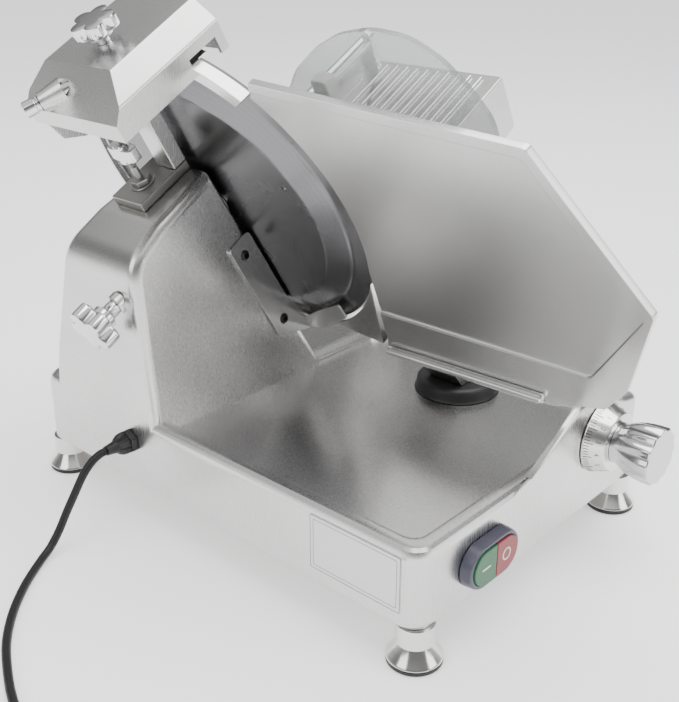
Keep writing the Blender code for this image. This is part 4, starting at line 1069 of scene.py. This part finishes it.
def make_pusher():
    """Meat pusher: a serrated plate on a sleeve, with a turned grip."""
    plate_line = softened([(-40, -92), (80, -92), (80, -12), (-40, -12)], [10, 3, 12, 22], 6)
    plate = solid(prism(plate_line, 36, 40), BLADE)
    plate = ease(plate, 0.8, 2, 40)
    cleat = prism([(-1.6, 0), (1.6, 0), (0, -2.2)], -32, 52)
    turn = Matrix.Rotation(radians(90), 4, "Y")
    for vert in cleat.verts:
        vert.co = turn @ vert.co
    for vert in cleat.verts:
        vert.co = Vector((vert.co.x + 10, vert.co.z - 20, 36.1 + vert.co.y))
    cleats = repeated(cleat, BLADE, 9, CAST, step=(0, -8, 0))
    hub = solid(lathe([(7.3, 23), (11, 23), (12, 24), (12, 52), (11, 53), (7.3, 53), (7.3, 23)], 56),
                BLADE @ Matrix.Translation((94, -60, 0)))
    link = ease(solid(block((74, -72, 34.3), (83.5, -48, 40)), BLADE), 0.6, 2)
    piece("pusher_blade", join(plate, cleats, hub, link), CAST, "pusher", "pusher_plate", 30)
    sleeve = [(5.3, 20.3), (7, 20.3), (7, 56), (5.3, 56), (5.3, 20.3)]
    piece("pusher_bush", solid(lathe(sleeve, 48), BLADE @ Matrix.Translation((94, -60, 0))), ABS, "pusher",
          "pusher_sleeve")
    grip = [(0, 40.3), (7, 40.3), (8, 42), (8.6, 46), (11, 51), (13.6, 57), (14, 62), (13, 67.5), (10, 71), (6, 72),
            (0, 72)]
    piece("pusher_knob", solid(lathe(grip, 64), BLADE @ Matrix.Translation((10, -40, 0))), ABS, "pusher",
          "pusher_grip")


# ---------------------------------------------------------------- hand guard
GUARD_PIN = (-141, 105)


def make_hand_guard():
    """Clear guard that keeps the hand behind the table, with the nylon stop it hangs on."""
    outline = softened([(-64, -90), (-64, 40), (-100, 92), (-131, 129), (-158, 149), (-185, 163), (-216, 170),
                        (-245, 167), (-266, 153), (-280, 135), (-292, 112), (-290, 60), (-250, -60), (-230, -90)],
                       [4, 40, 60, 60, 60, 60, 60, 40, 30, 30, 30, 60, 60, 6], 6)
    sheet = solid(prism(outline, 14, 18), BLADE)
    hole = solid(lathe([(0, 30), (3.4, 30), (3.4, 5), (0, 5)], 32), BLADE @ Matrix.Translation((*GUARD_PIN, 0)))
    combine(sheet, hole)
    sheet = piece("clear_hand_guard", ease(sheet, 0.5, 2, 50), ACRYLIC, "carriage", "hand_guard",
                  30)
    sheet.data.materials.append(ACRYLIC_EDGE)
    for face in sheet.data.polygons:
        face.material_index = 1 if abs(face.normal.dot(BLADE_AXIS)) < 0.9 else 0
    pin_place = BLADE @ Matrix.Translation((*GUARD_PIN, 0))
    stud = [(0, 22.4), (2.4, 22.4), (3.1, 21.6), (3.1, 10), (6.2, 10), (6.2, 8), (5.6, 7.4), (0, 7.4)]
    piece("guard_stud", solid(lathe(stud, 40), pin_place), CHROME, "carriage")
    stop = ease(solid(prism(round_rect((-151, 103), (-136, 118), 3, 5), 18.2, 30), BLADE), 1, 3)
    combine(stop, solid(lathe([(0, 40), (3.4, 40), (3.4, 15), (0, 15)], 32), pin_place))
    piece("guard_stop", stop, NYLON, "carriage")


# ---------------------------------------------------------------- plain film plate
def make_data_plate():
    """Blank metallised film on the left side of the base."""
    face = turned_frame(MACHINE, (-BASE_X, -160.5, 67), "Z", -90) @ Matrix.Rotation(radians(90), 4, "X")
    film = solid(prism(round_rect((-42.5, -23), (42.5, 23), 2, 4), 0.02, 0.25), face)
    piece("blank_film", film, FILM, "machine")
    lines = None
    for inset, width in ((0.4, 0.45), (3.4, 0.4)):
        outer = round_rect((inset - 42.5, inset - 23), (42.5 - inset, 23 - inset), 1.5, 4)
        inner_inset = inset + width
        inner = round_rect((inner_inset - 42.5, inner_inset - 23), (42.5 - inner_inset, 23 - inner_inset), 1.3, 4)
        line = solid(loft([[(x, y, 0.2) for x, y in outer], [(x, y, 0.29) for x, y in outer],
                           [(x, y, 0.29) for x, y in inner], [(x, y, 0.2) for x, y in inner]], closed=True), face)
        lines = line if lines is None else join(lines, line)
    piece("film_border", lines, FILM_EDGE, "machine")


# ---------------------------------------------------------------- inner parts
INNER = {"blade_shaft": BRIGHT, "blade_pulley": CAST, "blade_bearing": ZINC, "motor_pulley": CAST,
         "gear_motor": CAST, "drive_belt": RUBBER, "gauge_rod": CHROME, "gauge_rod_bracket": ZINC,
         "gauge_slider": CAST, "rail_carrier": CAST, "bottom_cover": ZINC, "slide_block": CAST}


def paint_inner():
    """The CAD parts inside the casing keep their own shapes and take a real finish."""
    for node, finish in INNER.items():
        carried = frame["nodes"][node]
        carried.data.materials.clear()
        carried.data.materials.append(finish)


make_base()
make_feet()
make_blade()
make_guard_ring()
make_deflector()
make_tie_rod()
make_sharpener()
make_sharpener_mount()
make_gauge()
make_gauge_post()
make_dial()
make_switch()
make_carriage()
make_arm_knob()
make_rail()
make_pusher()
make_hand_guard()
make_data_plate()
paint_inner()


# ---------------------------------------------------------------- floor and light
def make_floor():
    work = bmesh.new()
    bmesh.ops.create_grid(work, x_segments=1, y_segments=1, size=8000)
    floor = solid(work, MACHINE @ Matrix.Translation((0, 0, -0.3)), "floor")
    made, tree, shader = start("matt_white_backdrop", "#f6f6f6", 0, 0.9)
    shader.inputs["Emission Color"].default_value = colour("#ffffff")
    shader.inputs["Emission Strength"].default_value = 0.75
    floor.data.materials.append(made)


def make_world():
    """White all round to the eye; in reflections, a soft studio with a grey far wall and a bright roof."""
    world = bpy.data.worlds.new("studio")
    world.use_nodes = True
    bpy.context.scene.world = world
    tree = world.node_tree
    sky = tree.nodes["Background"]
    ray = add(tree, "ShaderNodeLightPath").outputs["Is Camera Ray"]
    height = add(tree, "ShaderNodeSeparateXYZ", {}, {
        "Vector": add(tree, "ShaderNodeTexCoord").outputs["Generated"]}).outputs["Z"]
    ramp_node = add(tree, "ShaderNodeValToRGB", {}, {"Fac": height})
    stops = ramp_node.color_ramp.elements
    stops[0].position, stops[0].color = 0.0, colour("#f0f0f0")
    stops[1].position, stops[1].color = 1.0, colour("#ffffff")
    for position, grey in ((0.1, "#c8c8c8"), (0.3, "#7c7c7c"), (0.52, "#868686"), (0.7, "#f2f2f2")):
        stops.new(position).color = colour(grey)
    mixed = add(tree, "ShaderNodeMix", {"data_type": "RGBA"}, {
        "Factor": ray, "A": ramp_node.outputs[0], "B": colour("#ffffff")}).outputs["Result"]
    tree.links.new(mixed, sky.inputs["Color"])
    sky.inputs["Strength"].default_value = 1.0


def make_light(name, place, aim, size, power):
    data = bpy.data.lights.new(name, "AREA")
    data.shape, data.size, data.energy = "SQUARE", size, power
    lamp = bpy.data.objects.new(name, data)
    bpy.context.scene.collection.objects.link(lamp)
    away = Vector(place) - Vector(aim)
    turn = away.to_track_quat("Z", "Y").to_matrix().to_4x4()
    lamp.matrix_world = Matrix.Translation(place) @ turn


make_floor()
make_world()
make_light("roof_box", (0.3, -0.2, 2.2), (0, 0, 0.2), 2.0, 60)
make_light("left_box", (-1.9, 0.2, 1.3), (0, 0, 0.2), 1.2, 13)
make_light("front_box", (0.6, -2.1, 1.1), (0, 0, 0.2), 1.2, 16)
